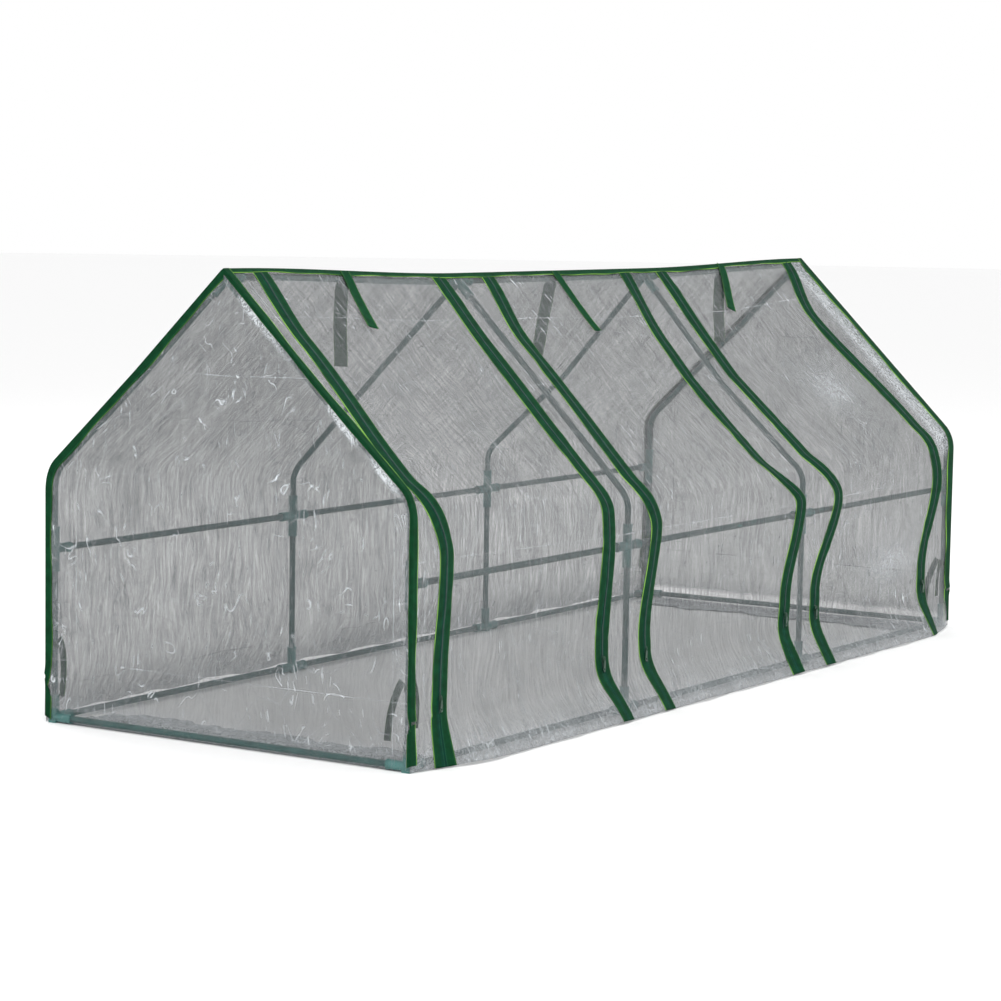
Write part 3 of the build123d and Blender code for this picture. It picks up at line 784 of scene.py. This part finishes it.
class GREENHOUSE_OT_end_panels(bpy.types.Operator):
    """Adds the two end panels, each with its hem tucked in on the ground"""

    bl_idname = "greenhouse.end_panels"
    bl_label = "End panels"

    tuck: length("Tuck", 0.15, "How far the hem is tucked in")

    def execute(self, context):
        s = context.scene.cover_settings
        for word, end, seed in (("near", -1, 21), ("far", 1, 34)):
            across = np.sin(np.linspace(-1, 1, 129) * pi / 2) * 0.35 + np.linspace(-1, 1, 129) * 0.65
            y = across * (WALL - 0.0004)
            top = np.interp(
                np.abs(y), np.minimum(PROFILE_Y[GIRTHS < EAVE_END], WALL), PROFILE_Z[GIRTHS < EAVE_END],
            )
            down = np.linspace(0, 1, 118)[:, None]
            corner = 0.006
            z = top * (1 - down) + (corner + 0.0012) * down
            lines = crease_lines(seed, 90, (-WALL, WALL), (0.02, APEX), 0.7)
            margin = np.minimum(top[None] - z, WALL - np.abs(y)[None])
            taut = ease(margin, 0.01, 0.07)
            depth = taut * (s.crease * 1.3 * creases(y[None], z, lines) + 0.002 * np.sin(
                9 * y[None] + 5 * z + seed
            )
                            + 0.0012 * np.sin(31 * y[None] - 13 * z) + 0.0012 * np.sin(
                                17 * z + 23 * y[None] + 1
                            ))
            x = end * (END_FACE - 0.0004 + depth * ease(z, 0.0, 0.05))
            panel = settle(np.stack([x, np.broadcast_to(y, z.shape), z], axis=-1))

            # The tuck: a quarter turn at the ground, then a flap that narrows and ends in a ragged edge.
            turn = np.linspace(0, pi / 2, 5)[1:, None]
            bend = np.stack(
                np.broadcast_arrays(
                    end * (END_FACE - 0.0004 - corner * (1 - np.cos(turn))), y[None],
                    corner * (1 - np.sin(turn)) + 0.0012,
                ),
                axis=-1,
            )
            run = np.linspace(0, 1, 22)[1:, None]
            ragged = self.tuck * (
                1 + 0.07 * np.sin(21 * y + seed) + 0.04 * np.sin(57 * y) + 0.02 * np.sin(140 * y)
            )
            flap_x = end * (END_FACE - corner - run * ragged[None])
            flap_y = y[None] * (1 - 0.13 * ease(run, 0, 0.8))
            crumple = 0.0022 * ease(run, 0.05, 0.4) * (
                1.2 + np.sin(60 * y[None] + 40 * run) * np.cos(33 * y[None] - 9 * run)
            )
            flap = np.stack(np.broadcast_arrays(flap_x, flap_y, 0.0012 + crumple), axis=-1)
            points = np.concatenate([panel, bend, flap])
            rows = len(points)
            travel = np.concatenate(
                [z, -np.broadcast_to(corner * turn, bend.shape[:2]), -0.01 - run * ragged[None]]
            )
            # Crinkle and painted white highlight on the panel: strongest along the sloping edge, and there
            # more on the front half where the light falls; less along the foot and the two sides; whitest on
            # the tucked flap.
            slope_margin = np.clip(top[None] - z, 0, 1)
            broken = 0.55 + 0.45 * np.sin(43 * y[None] + 1.7 * np.sin(19 * y[None]))
            panel_crinkle_and_highlight = 1.7 * broken * (1 - ease(slope_margin, 0.018, 0.036)) * (
                0.25 + 0.75 * ease(-y[None], -0.02, 0.05)
            )
            panel_crinkle_and_highlight = np.maximum(panel_crinkle_and_highlight, 0.55 * (1 - ease(z, 0.01, 0.07)))
            panel_crinkle_and_highlight = np.maximum(
                panel_crinkle_and_highlight, 0.3 * (1 - ease(WALL - np.abs(y)[None], 0.015, 0.05)) * np.ones_like(z),
            )
            panel_crinkle_and_highlight = np.where(z < 0.03, 0.15, panel_crinkle_and_highlight)
            flap_shape = flap.shape[:2]
            crinkle_and_highlight = np.concatenate(
                [
                    panel_crinkle_and_highlight, np.full(bend.shape[:2], 0.2),
                    1.6 + 0.8 * np.broadcast_to(ease(run, 0.5, 1), flap_shape),
                ]
            )
            # Where the film lies against the base tube it wets out and its haze goes.
            low = 0.22 + 0.78 * ease(z, 0.022, 0.04) + 0 * y[None]
            wetted = np.concatenate([low, np.full(bend.shape[:2], 0.22), np.ones(flap_shape)])
            faces = quads(rows, len(y))
            uv = np.stack([np.broadcast_to(y[None], travel.shape), travel], axis=-1)
            # The near end panel gets stronger painted highlight strokes than the far one, because it faces
            # the light.
            piece = make_piece(f"{word}_end_panel", [
                (points, faces if end < 0 else faces[:, ::-1], [])
            ], film_material(
                "pvc_film_end" if end < 0 else "pvc_film_far_end", 0.8 if end < 0 else 0.3, 0.4,
            ),
                               slot="cover_film", replaces=[f"{word}_gable_film"], uv=uv, marks={
                                   "crinkle_and_highlight": crinkle_and_highlight, "wetted": wetted,
                               })
            thicken(piece, s.film, -1)
        return {"FINISHED"}


class GREENHOUSE_OT_zips(bpy.types.Operator):
    """Adds the zip tapes on the fixed film and on the doors, and the closed chains between them"""

    bl_idname = "greenhouse.zips"
    bl_label = "Zips"

    under: length("Under the chain", 0.0022, "How far a fixed tape reaches past the middle of its zip")
    clear: length(
        "Clear of the chain", 0.0026, "From the middle of a zip to the inner edge of the door's tape",
    )

    def execute(self, context):
        s = context.scene.tape_settings
        woven = woven_material("woven_zip_tape", tuple(s.green), tuple(s.core))
        girth = spread(DOOR_TOP - 0.004, HEM + 0.0005, 0.005)
        girth = np.minimum(girth, HEM)
        chains = []
        for number in (1, 2, 3):
            fixed, door = [], []
            for right in (0, 1):
                line = zip_line(number, right, girth)
                inner = (-s.zip_half, self.under) if not right else (-self.under, s.zip_half)
                outer = (self.clear, s.zip_half) if not right else (-s.zip_half, -self.clear)
                fixed.append(
                    band_grid(line, girth, *inner, 0.0002, piping=(1.0, 0.0) if not right else (0.0, 0.15))
                )
                door.append(band_grid(
                    line, girth, *outer, 0.0002, piping=(0.0, 0.2) if not right else (0.8, 0.0),
                ))
                chains.append(self.chain(line, girth, s))
            for name, strips, nodes in (
                (f"zip_tapes_fixed_{number}", fixed, [f"fixed_tapes_{number}"]),
                (
                    f"zip_tapes_door_{number}", door,
                    [f"door_{number}_roof_tapes", f"door_{number}_wall_tapes"],
                ),
            ):
                joined = join_strips([(p, f[:, ::-1], uv, m) for p, f, uv, m in strips])
                loose = name.startswith("zip_tapes_door")
                piece = make_piece(
                    name, material=woven, body=None if loose else "root", slot="zip_tape", replaces=nodes,
                    **joined,
                )
                thicken(piece, s.tape, 1)
                if loose:
                    bend_at_eave(piece)
        make_piece("zip_coils", chains, coil_material(), slot="zip_coil", replaces=["zip_chains"])
        return {"FINISHED"}

    def chain(self, line, girth, s):
        """A closed chain: a low rounded bar whose height and width pulse once for each turn of the coil."""
        down = np.arange(DOOR_TOP, FLARE_AT - 0.005, s.coil / 3)
        x = np.interp(down, girth, line)
        angle = np.linspace(0, pi, 7)
        pulse = 0.82 + 0.18 * np.cos(2 * pi * down / s.coil)
        section_x = np.concatenate([np.cos(angle), [-0.8, 0.8]])
        section_h = np.concatenate([0.55 * np.sin(angle) ** 0.7, [-0.3, -0.3]])
        px = x[:, None] + s.chain_half * section_x * pulse[:, None]
        base = lift(x, down) + s.tape + 0.0002
        out = base[:, None] + 0.0030 * section_h * pulse[:, None]
        points = cover(px, np.repeat(down[:, None], len(section_x), 1), out)
        sides = len(section_x)
        last = len(down) * sides
        faces = quads(len(down), sides, around=True)
        return points, faces, [list(range(sides))[::-1], list(range(last - sides, last))]


class GREENHOUSE_OT_bindings(bpy.types.Operator):
    """Adds the tapes bound over the ridge and round both end seams"""

    bl_idname = "greenhouse.bindings"
    bl_label = "Bindings"

    on_roof: length("On the roof", 0.016, "Width of the end binding that lies on the roof and walls")
    on_end: length(
        "On the end", 0.015, "Width of the end binding that lies on the end panel behind the ridge",
    )

    def execute(self, context):
        s = context.scene.tape_settings
        woven = woven_material("woven_binding_tape", tuple(s.green), linear("#0a4024"))
        half_girth = spread(0, HEM - 0.014, 0.006)
        girth = np.concatenate([-half_girth[:0:-1], half_girth])
        for word, end in (("near", -1), ("far", 1)):
            # The section starts on the roof, turns over the edge in a small arc and runs down the end.
            reach = np.concatenate([np.linspace(-self.on_roof, 0, 6), np.full(6, 0.0)])
            out = np.concatenate([np.full(6, 0.0011), np.linspace(0.0003, -self.on_end, 6)])
            reach[5], reach[6] = 0.0006, 0.0011
            wave = 1 + 0.10 * np.sin(19 * girth) + 0.06 * np.sin(47 * girth + 1)
            broad = wave * (1 + 0.9 * (end > 0) * ease(girth, -0.01, 0.05))
            x = end * (END_FACE + 0.0002 + reach[None] * np.where(reach < 0, broad[:, None], 1.0))
            narrow = 0.42 + 0.58 * ease(-girth, -0.01, 0.01)
            wide = np.where(out < 0, out * (wave * narrow)[:, None], out)
            points = cover(x, girth[:, None] + 1e-9, wide)
            across = np.concatenate([[0], np.cumsum(np.hypot(np.diff(reach), np.diff(out)))])
            edge = np.minimum(across, across[-1] - across)
            marks = {
                "edge": np.tile(edge, len(girth)),
                "piping": (
                    np.where(
                        across < across[-1] / 2, 0.9, 0.35,
                    )[None] * np.where(girth > 0, 1.0, 0.8)[:, None]
                ).ravel(),
                "middle": np.full(len(girth) * len(across), 1.0),
            }
            uv = np.stack(np.broadcast_arrays(across[None], girth[:, None]), axis=-1)
            faces = quads(len(girth), len(across))
            piece = make_piece(f"{word}_end_binding", [
                (points, faces if end < 0 else faces[:, ::-1], [])
            ], woven,
                               slot="binding_tape", replaces=["gable_bindings"], uv=uv, marks=marks)
            thicken(piece, s.tape, 0)

        x = spread(-END_FACE + 0.01, END_FACE - 0.01, 0.008)
        wing = np.linspace(-1, 1, 11) * 0.0125
        wide = wing[None] * (1 + 0.12 * np.sin(13 * x) + 0.08 * np.sin(37 * x))[:, None]
        crown = 0.0010 - 0.0006 * np.exp(-((wing / 0.003) ** 2))
        points = cover(x[:, None], wide + 1e-9, crown[None])
        edge = 0.0125 - np.abs(wing)
        marks = {
            "edge": np.tile(edge, len(x)), "piping": np.tile(np.where(wing > 0, 0.7, 0.3), len(x)),
            "middle": np.ones(len(x) * len(wing)),
        }
        uv = np.stack(np.broadcast_arrays(wide, x[:, None]), axis=-1)
        piece = make_piece("ridge_tape", [
            (points, quads(len(x), len(wing))[:, ::-1], [])
        ], woven, slot="binding_tape",
                           replaces=["ridge_binding"], uv=uv, marks=marks)
        thicken(piece, s.tape, 0)
        return {"FINISHED"}


class GREENHOUSE_OT_ties(bpy.types.Operator):
    """Adds the roll ties on the doors, the ties that hang inside the ridge and the ties at the corner legs"""

    bl_idname = "greenhouse.ties"
    bl_label = "Ties"

    hang: length("Hang", 0.165, "Length of a roll tie and of the tail inside")
    corner_half: length("Corner half width", 0.0075, "Half the width of a corner tie")
    corner_long: length("Corner long tail", 0.115, "Length of a corner tie's longer tail")
    corner_short: length("Corner short tail", 0.09, "Length of a corner tie's shorter tail")

    def execute(self, context):
        s = context.scene.tape_settings
        woven = woven_material("woven_tie_ribbon", linear("#0b4527"), linear("#0b4527"))
        leans = {1: (0.0, -0.055), 2: (0.010, -0.003), 3: (-0.010, -0.105)}
        for number in (1, 2, 3):
            middle = middle_x(f"roll_tie_{number}")
            run = np.linspace(0, 1, 34)
            start, lean = leans[number]
            down = 0.004 + run * np.sqrt(self.hang**2 - lean**2)  # a ribbon that leans reaches less far down
            x = middle + start + lean * run**1.2
            path = cover(x, down, lift(x, down) + 0.0022 + 0.004 * run**3)
            across = np.stack([np.ones_like(x), np.zeros_like(x), np.zeros_like(x)], axis=-1)
            joined = join_strips([ribbon(path, across, s.tie / 2, 0.0012)])
            piece = make_piece(
                f"roll_tie_ribbon_{number}", material=woven, body=f"door_{number}_roof", slot="tie_ribbon",
                replaces=[f"roll_tie_{number}"], **joined,
            )
            thicken(piece, 0.001, 0)
            self.inner(number, woven, s)
        self.corners(woven)
        return {"FINISHED"}

    def inner(self, number, woven, s):
        """A loop once round the ridge tube, then a tail that hangs with a slight wave and a part turn."""
        middle = middle_x(f"inner_tie_{number}")
        centre = settle(np.array([middle, 0, RIDGE_TUBE_Z]))
        loop_r = TUBE_R + 0.0011
        angle = np.linspace(-0.5 * pi, 1.42 * pi, 40)
        loop = np.stack([np.zeros_like(angle), loop_r * np.cos(angle), loop_r * np.sin(angle)], axis=-1)
        run = np.linspace(0, 1, 34)[1:]
        lean = {1: -0.006, 2: -0.055, 3: 0.0}[number]
        tail = np.stack(
            [
                lean * run**1.3, 0.0014 + 0.004 * np.sin(5 * run) * run,
                -loop_r - 0.002 - run * np.sqrt(self.hang**2 - lean**2),
            ],
            axis=-1,
        )
        tail[:, 1] += loop[-1, 1] * (1 - ease(run, 0, 0.08))
        path = centre + np.concatenate([loop, tail])
        twist = -0.85 * ease(np.arange(len(path)), len(loop) - 8, len(loop) + 3)
        across = np.stack([np.cos(twist), np.sin(twist), 0 * twist], axis=-1)
        joined = join_strips([ribbon(path, across, s.tie / 2, 0.0)])
        piece = make_piece(
            f"inner_tie_ribbon_{number}", material=woven, body=f"inner_tie_{number}", slot="tie_ribbon",
            replaces=[f"inner_tie_{number}"], **joined,
        )
        thicken(piece, 0.001, 0)

    def corners(self, woven):
        """At each corner leg a loop and two tails that hang and turn away from the leg."""
        strips = []
        loop_r = TUBE_R + 0.0012
        for end in (-1, 1):
            for side in (-1, 1):
                leg = np.array([end * abs(HOOPS[0]), side * LEG_Y, 0.157])
                angle = np.linspace(0, 1.9 * pi, 36)
                loop = leg + np.stack([loop_r * np.cos(angle), loop_r * np.sin(angle), 0 * angle], axis=-1)
                strips.append(ribbon(loop, np.tile([0, 0, 1.0], (len(loop), 1)), 0.007))
                for inward, long, lean in (
                    (np.array([0.0, -side, 0.0]), self.corner_long, 0.030 if side < 0 else 0.006),
                    (np.array([-end, 0.0, 0.0]), self.corner_short, 0.012),
                ):
                    run = np.linspace(0, 1, 26)
                    start = leg + inward * (loop_r + 0.007) + np.array([0, 0, 0.012])
                    bow = lean * run**0.8 + 0.006 * np.sin(pi * run)
                    path = start + inward * bow[:, None] + np.stack(
                        [0.003 * np.sin(3 * run), 0.003 * np.sin(2 * run), -long * run], axis=-1,
                    )
                    strips.append(ribbon(path, np.tile(inward, (len(path), 1)), self.corner_half, 0.0006))
        joined = join_strips(strips)
        piece = make_piece(
            "corner_tie_ribbons", material=woven, slot="tie_ribbon", replaces=["corner_ties"], **joined,
        )
        thicken(piece, 0.001, 0)


class GREENHOUSE_OT_sliders(bpy.types.Operator):
    """Adds the zip sliders and their pulls, each on its own body"""

    bl_idname = "greenhouse.sliders"
    bl_label = "Zip sliders"

    def execute(self, context):
        enamel = slider_material()
        pin_y = -WALL - 0.0074
        for number in (1, 2, 3):
            for right, word in enumerate(("left", "right")):
                z = PULL_PIN - 0.005
                x = float(zip_line(number, right, FLARE_AT - (z - 0.095)))
                middle = np.array([x, -WALL, z])
                plates = [
                    self.plate(middle, 0.0072, 0.0042, 0.0013, 0.0016),
                    self.plate(middle, 0.0072, 0.0040, 0.0036, 0.0016),
                ]
                angle = np.linspace(0, pi, 15)
                arch = middle + np.stack(
                    [0 * angle, -0.0050 - 0.0032 * np.sin(angle), 0.0062 * np.cos(angle) + 0.001], axis=-1,
                )
                bridge = round_bar(arch, 0.0009, 10)
                piece = make_piece(
                    f"zip_slider_{number}_{word}", [*plates, bridge], enamel, body=f"slider_{number}_{word}",
                    slot="zip_slider", replaces=[f"slider_{number}_{word}"],
                )
                piece.modifiers.new("Bevel", "BEVEL").width = 0.0003
                ring = np.linspace(0, 2 * pi, 25)
                eye = np.array([x, pin_y, PULL_PIN - 0.003]) + np.stack(
                    [0.0022 * np.sin(ring), 0 * ring, 0.0032 * np.cos(ring)], axis=-1,
                )
                pull = [
                    round_bar(eye, 0.0006, 8, up=(0, 1, 0), closed_ends=False),
                    self.tab(np.array([x, pin_y, PULL_PIN])),
                ]
                piece = make_piece(f"zip_pull_{number}_{word}", pull, enamel, body=f"pull_{number}_{word}",
                                   slot="zip_slider", replaces=[f"pull_{number}_{word}"])
                piece.modifiers.new("Bevel", "BEVEL").width = 0.0002
        return {"FINISHED"}

    def plate(self, middle, half_long, half_wide, low, thick):
        """A flat plate with a heart-like outline: a superellipse, wider at its top."""
        angle = np.linspace(0, 2 * pi, 32, endpoint=False)
        z = half_long * np.sign(np.sin(angle)) * np.abs(np.sin(angle)) ** 0.6
        x = half_wide * np.sign(np.cos(angle)) * np.abs(np.cos(angle)) ** 0.6 * (0.86 + 0.14 * z / half_long)
        layers = [middle + np.stack([x, np.full_like(x, -depth), z], axis=-1) for depth in (low, low + thick)]
        return np.stack(layers), quads(2, 32, around=True)[:, ::-1], [
            list(range(32)), list(range(32, 64))[::-1],
        ]

    def tab(self, pin):
        """A pull tab: a long rounded plate with a round hole near its lower end."""
        angle = np.linspace(0, 2 * pi, 40, endpoint=False)
        outer_x = 0.0038 * np.sign(np.cos(angle)) * np.abs(np.cos(angle)) ** 0.35 * (1 - 0.18 * np.sin(angle))
        outer_z = -0.0175 + 0.0120 * np.sign(np.sin(angle)) * np.abs(np.sin(angle)) ** 0.5
        inner_x, inner_z = 0.0017 * np.cos(angle), -0.0245 + 0.0017 * np.sin(angle)
        loops = [
            (outer_x, outer_z, 0.0007), (outer_x, outer_z, -0.0007), (inner_x, inner_z, -0.0007),
            (inner_x, inner_z, 0.0007),
        ]
        points = pin + np.stack([np.stack([x, np.full_like(x, y), z], axis=-1) for x, z, y in loops])
        index = np.arange(4 * 40).reshape(4, 40)
        index = np.vstack([index, index[:1]])
        turned = np.roll(index, -1, axis=1)
        faces = np.stack([index[:-1], index[1:], turned[1:], turned[:-1]], axis=-1).reshape(-1, 4)
        return points, faces, []


class GREENHOUSE_OT_tubes(bpy.types.Operator):
    """Adds the bent roof tubes and the ridge tube as they have settled, and finishes the straight tubes"""

    bl_idname = "greenhouse.tubes"
    bl_label = "Tubes"

    def execute(self, context):
        s = context.scene.frame_settings
        coat = tube_material()
        inset = WALL - LEG_Y
        down = np.concatenate(
            [
                np.linspace(0.012, SLOPE_END, 50), spread(SLOPE_END, EAVE_END, 0.006)[1:],
                np.linspace(EAVE_END, EAVE_END + 0.087, 10)[1:],
            ]
        )
        for number, x in enumerate(HOOPS, 1):
            arms = []
            for side in (1, -1):
                path = cover(x, side * down, -inset)
                arms.append(round_bar(path, TUBE_R, s.sides))
            make_piece(f"roof_hoop_{number}", arms, coat, slot="frame_tube", replaces=[f"rafters_{number}"])
        x = spread(HOOPS[0], HOOPS[3], 0.02)
        path = settle(np.stack([x, 0 * x, 0 * x + RIDGE_TUBE_Z], axis=-1))
        make_piece(
            "ridge_tube", [round_bar(path, TUBE_R, s.sides, up=(0, 0, 1))], coat, slot="frame_tube",
            replaces=["ridge_rails"],
        )
        for node in (
            "front_legs", "back_legs", "front_mid_rails", "back_mid_rails", "front_base_rails",
            "back_base_rails", "end_base_rails",
        ):
            finish_node(node, coat)
        return {"FINISHED"}


def finish_node(node, material):
    """Gives a CAD node its material in place of the one it was packed with."""
    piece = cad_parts[node]
    piece.data.materials.clear()
    piece.data.materials.append(material)


class GREENHOUSE_OT_connectors(bpy.types.Operator):
    """Adds the ridge connectors as they have settled, and finishes the connectors below them"""

    bl_idname = "greenhouse.connectors"
    bl_label = "Connectors"

    def execute(self, context):
        moulded = connector_material()
        slopes = [np.array([0, side * cos(PITCH), -sin(PITCH)]) for side in (-1, 1)]
        for name, node, places in (
            ("ridge_end_connectors", "ridge_tees", (0, 3)),
            ("ridge_middle_connectors", "ridge_crosses", (1, 2)),
        ):
            parts = []
            for place in places:
                centre = np.array([HOOPS[place], 0, RIDGE_TUBE_Z])
                along = [np.array([1.0, 0, 0]), np.array([-1.0, 0, 0])]
                arms = slopes + (along if place in (1, 2) else [along[0] if place == 0 else along[1]])
                parts += [self.socket(centre, arm, context.scene.frame_settings) for arm in arms]
            make_piece(name, parts, moulded, slot="connector", replaces=[node])
        for node in ("corner_elbows", "base_tees", "mid_tees", "mid_crosses"):
            finish_node(node, moulded)
        return {"FINISHED"}

    def socket(self, centre, arm, s):
        """A socket: a turned profile with a domed foot, a plain barrel, two grip rings and a rounded rim."""
        along = np.array([
            -0.6, -0.45, -0.2, 0.0, 0.3, 0.34, 0.37, 0.41, 0.5,
            0.54, 0.57, 0.61, 0.88, 0.90, 0.93, 0.97, 1.0, 1.0,
        ])
        wide = np.array([
            0.35, 0.75, 0.96, 1.0, 1.0, 1.04, 1.04, 1.0, 1.0,
            1.04, 1.04, 1.0, 1.0, 1.07, 1.09, 1.09, 1.06, 0.75,
        ])
        offset = np.where(along < 0, along * s.socket_r, along * s.reach)
        offset = np.maximum.accumulate(offset + np.arange(len(offset)) * 1e-6)
        path = centre + offset[:, None] * arm
        up = (0, 0, 1) if abs(arm[0]) > 0.5 else (1, 0, 0)
        points, faces, caps = round_bar(path, wide * s.socket_r, s.sides, up=up)
        return settle(points), faces, caps


class GREENHOUSE_OT_stage(bpy.types.Operator):
    """Adds a plain pale floor, soft studio lights and the camera"""

    bl_idname = "greenhouse.stage"
    bl_label = "Stage"

    def execute(self, context):
        s = context.scene.stage_settings
        scene = context.scene
        scene.view_settings.view_transform = "Standard"
        material, tree, shader = start_material("matt_floor_board")
        place = add(tree, "TexCoord").outputs["Object"]
        speck = add(tree, "TexNoise", {"Vector": place, "Scale": 35.0, "Detail": 4.0})
        speck = add(tree, "MapRange", {0: speck, 1: 0.3, 2: 0.7, 3: 0.985, 4: 1.0})
        shade = add(tree, "VectorMath", {0: (*s.floor,), 3: speck}, operation="SCALE")
        tree.links.new(shade.outputs[0], shader.inputs["Base Color"])
        shader.inputs["Roughness"].default_value = 0.9
        radius = 40.0
        angle = np.linspace(0, 2 * pi, 96, endpoint=False)
        rim = np.stack([radius * np.cos(angle), radius * np.sin(angle), 0 * angle], axis=-1)
        floor = make_piece("floor", [(rim, np.zeros((0, 4), int), [list(range(96))])], material, body=None)
        world = bpy.data.worlds.new("soft_room")
        world.use_nodes = True
        background = world.node_tree.nodes["Background"]
        background.inputs["Color"].default_value = (1, 1, 1, 1)
        background.inputs["Strength"].default_value = 1.0
        scene.world = world
        for name, place, size, power in (
            ("key_light", (-3.5, -3.0, 4.5), 3.5, s.key),
            ("fill_light", (3.5, -3.5, 3.0), 3.0, s.key * 0.35),
            ("back_light", (0.5, 4.0, 4.0), 3.5, s.key * 0.6),
        ):
            data = bpy.data.lights.new(name, "AREA")
            data.shape, data.size, data.energy = "DISK", size, power
            light = bpy.data.objects.new(name, data)
            light.location = place
            light.rotation_euler = (-light.location).to_track_quat("-Z", "Y").to_euler()
            scene.collection.objects.link(light)
        self.camera(scene, s)
        return {"FINISHED"}

    def camera(self, scene, s):
        """The camera looks along its azimuth and elevation, with a slight roll."""
        a, e, r = s.azimuth, s.elevation, s.roll
        back = np.array([sin(a) * cos(e), -cos(a) * cos(e), sin(e)])
        right = np.array([cos(a), sin(a), 0])
        up = np.cross(back, right)
        axes = np.eye(4)
        axes[:3, 0] = cos(r) * right + sin(r) * up
        axes[:3, 1] = -sin(r) * right + cos(r) * up
        axes[:3, 2] = back
        axes[:3, 3] = s.place
        camera = bpy.data.objects.new("camera", bpy.data.cameras.new("camera"))
        camera.data.lens, camera.data.sensor_width = s.lens, 36
        camera.data.clip_end = 200
        camera.matrix_world = Matrix(axes.tolist())
        scene.collection.objects.link(camera)
        scene.camera = camera


class GREENHOUSE_PT_panel(bpy.types.Panel):
    """Lists the steps that build the greenhouse"""

    bl_idname = "GREENHOUSE_PT_panel"
    bl_label = "Greenhouse"
    bl_space_type = "VIEW_3D"
    bl_region_type = "UI"
    bl_category = "Greenhouse"

    def draw(self, context):
        for settings in (
            context.scene.cover_settings, context.scene.tape_settings, context.scene.frame_settings,
            context.scene.stage_settings,
        ):
            box = self.layout.box()
            for key in settings.__annotations__:
                box.prop(settings, key)
        for step in STEPS:
            self.layout.operator(step.bl_idname)


STEPS = (
    GREENHOUSE_OT_tubes,
    GREENHOUSE_OT_connectors,
    GREENHOUSE_OT_back_sheet,
    GREENHOUSE_OT_front_sheets,
    GREENHOUSE_OT_doors,
    GREENHOUSE_OT_end_panels,
    GREENHOUSE_OT_bindings,
    GREENHOUSE_OT_zips,
    GREENHOUSE_OT_ties,
    GREENHOUSE_OT_sliders,
    GREENHOUSE_OT_stage,
)
SETTINGS = {
    "cover_settings": CoverSettings, "tape_settings": TapeSettings, "frame_settings": FrameSettings,
    "stage_settings": StageSettings,
}
CLASSES = (*SETTINGS.values(), *STEPS, GREENHOUSE_PT_panel)


def register():
    for made in CLASSES:
        bpy.utils.register_class(made)
    for key, group in SETTINGS.items():
        setattr(bpy.types.Scene, key, PointerProperty(type=group))


def unregister():
    for key in SETTINGS:
        delattr(bpy.types.Scene, key)
    for made in reversed(CLASSES):
        bpy.utils.unregister_class(made)


def main():
    """Builds every piece in order."""
    register()
    for step in STEPS:
        getattr(bpy.ops.greenhouse, step.bl_idname.split(".")[1])()


if __name__ == "__main__":
    main()
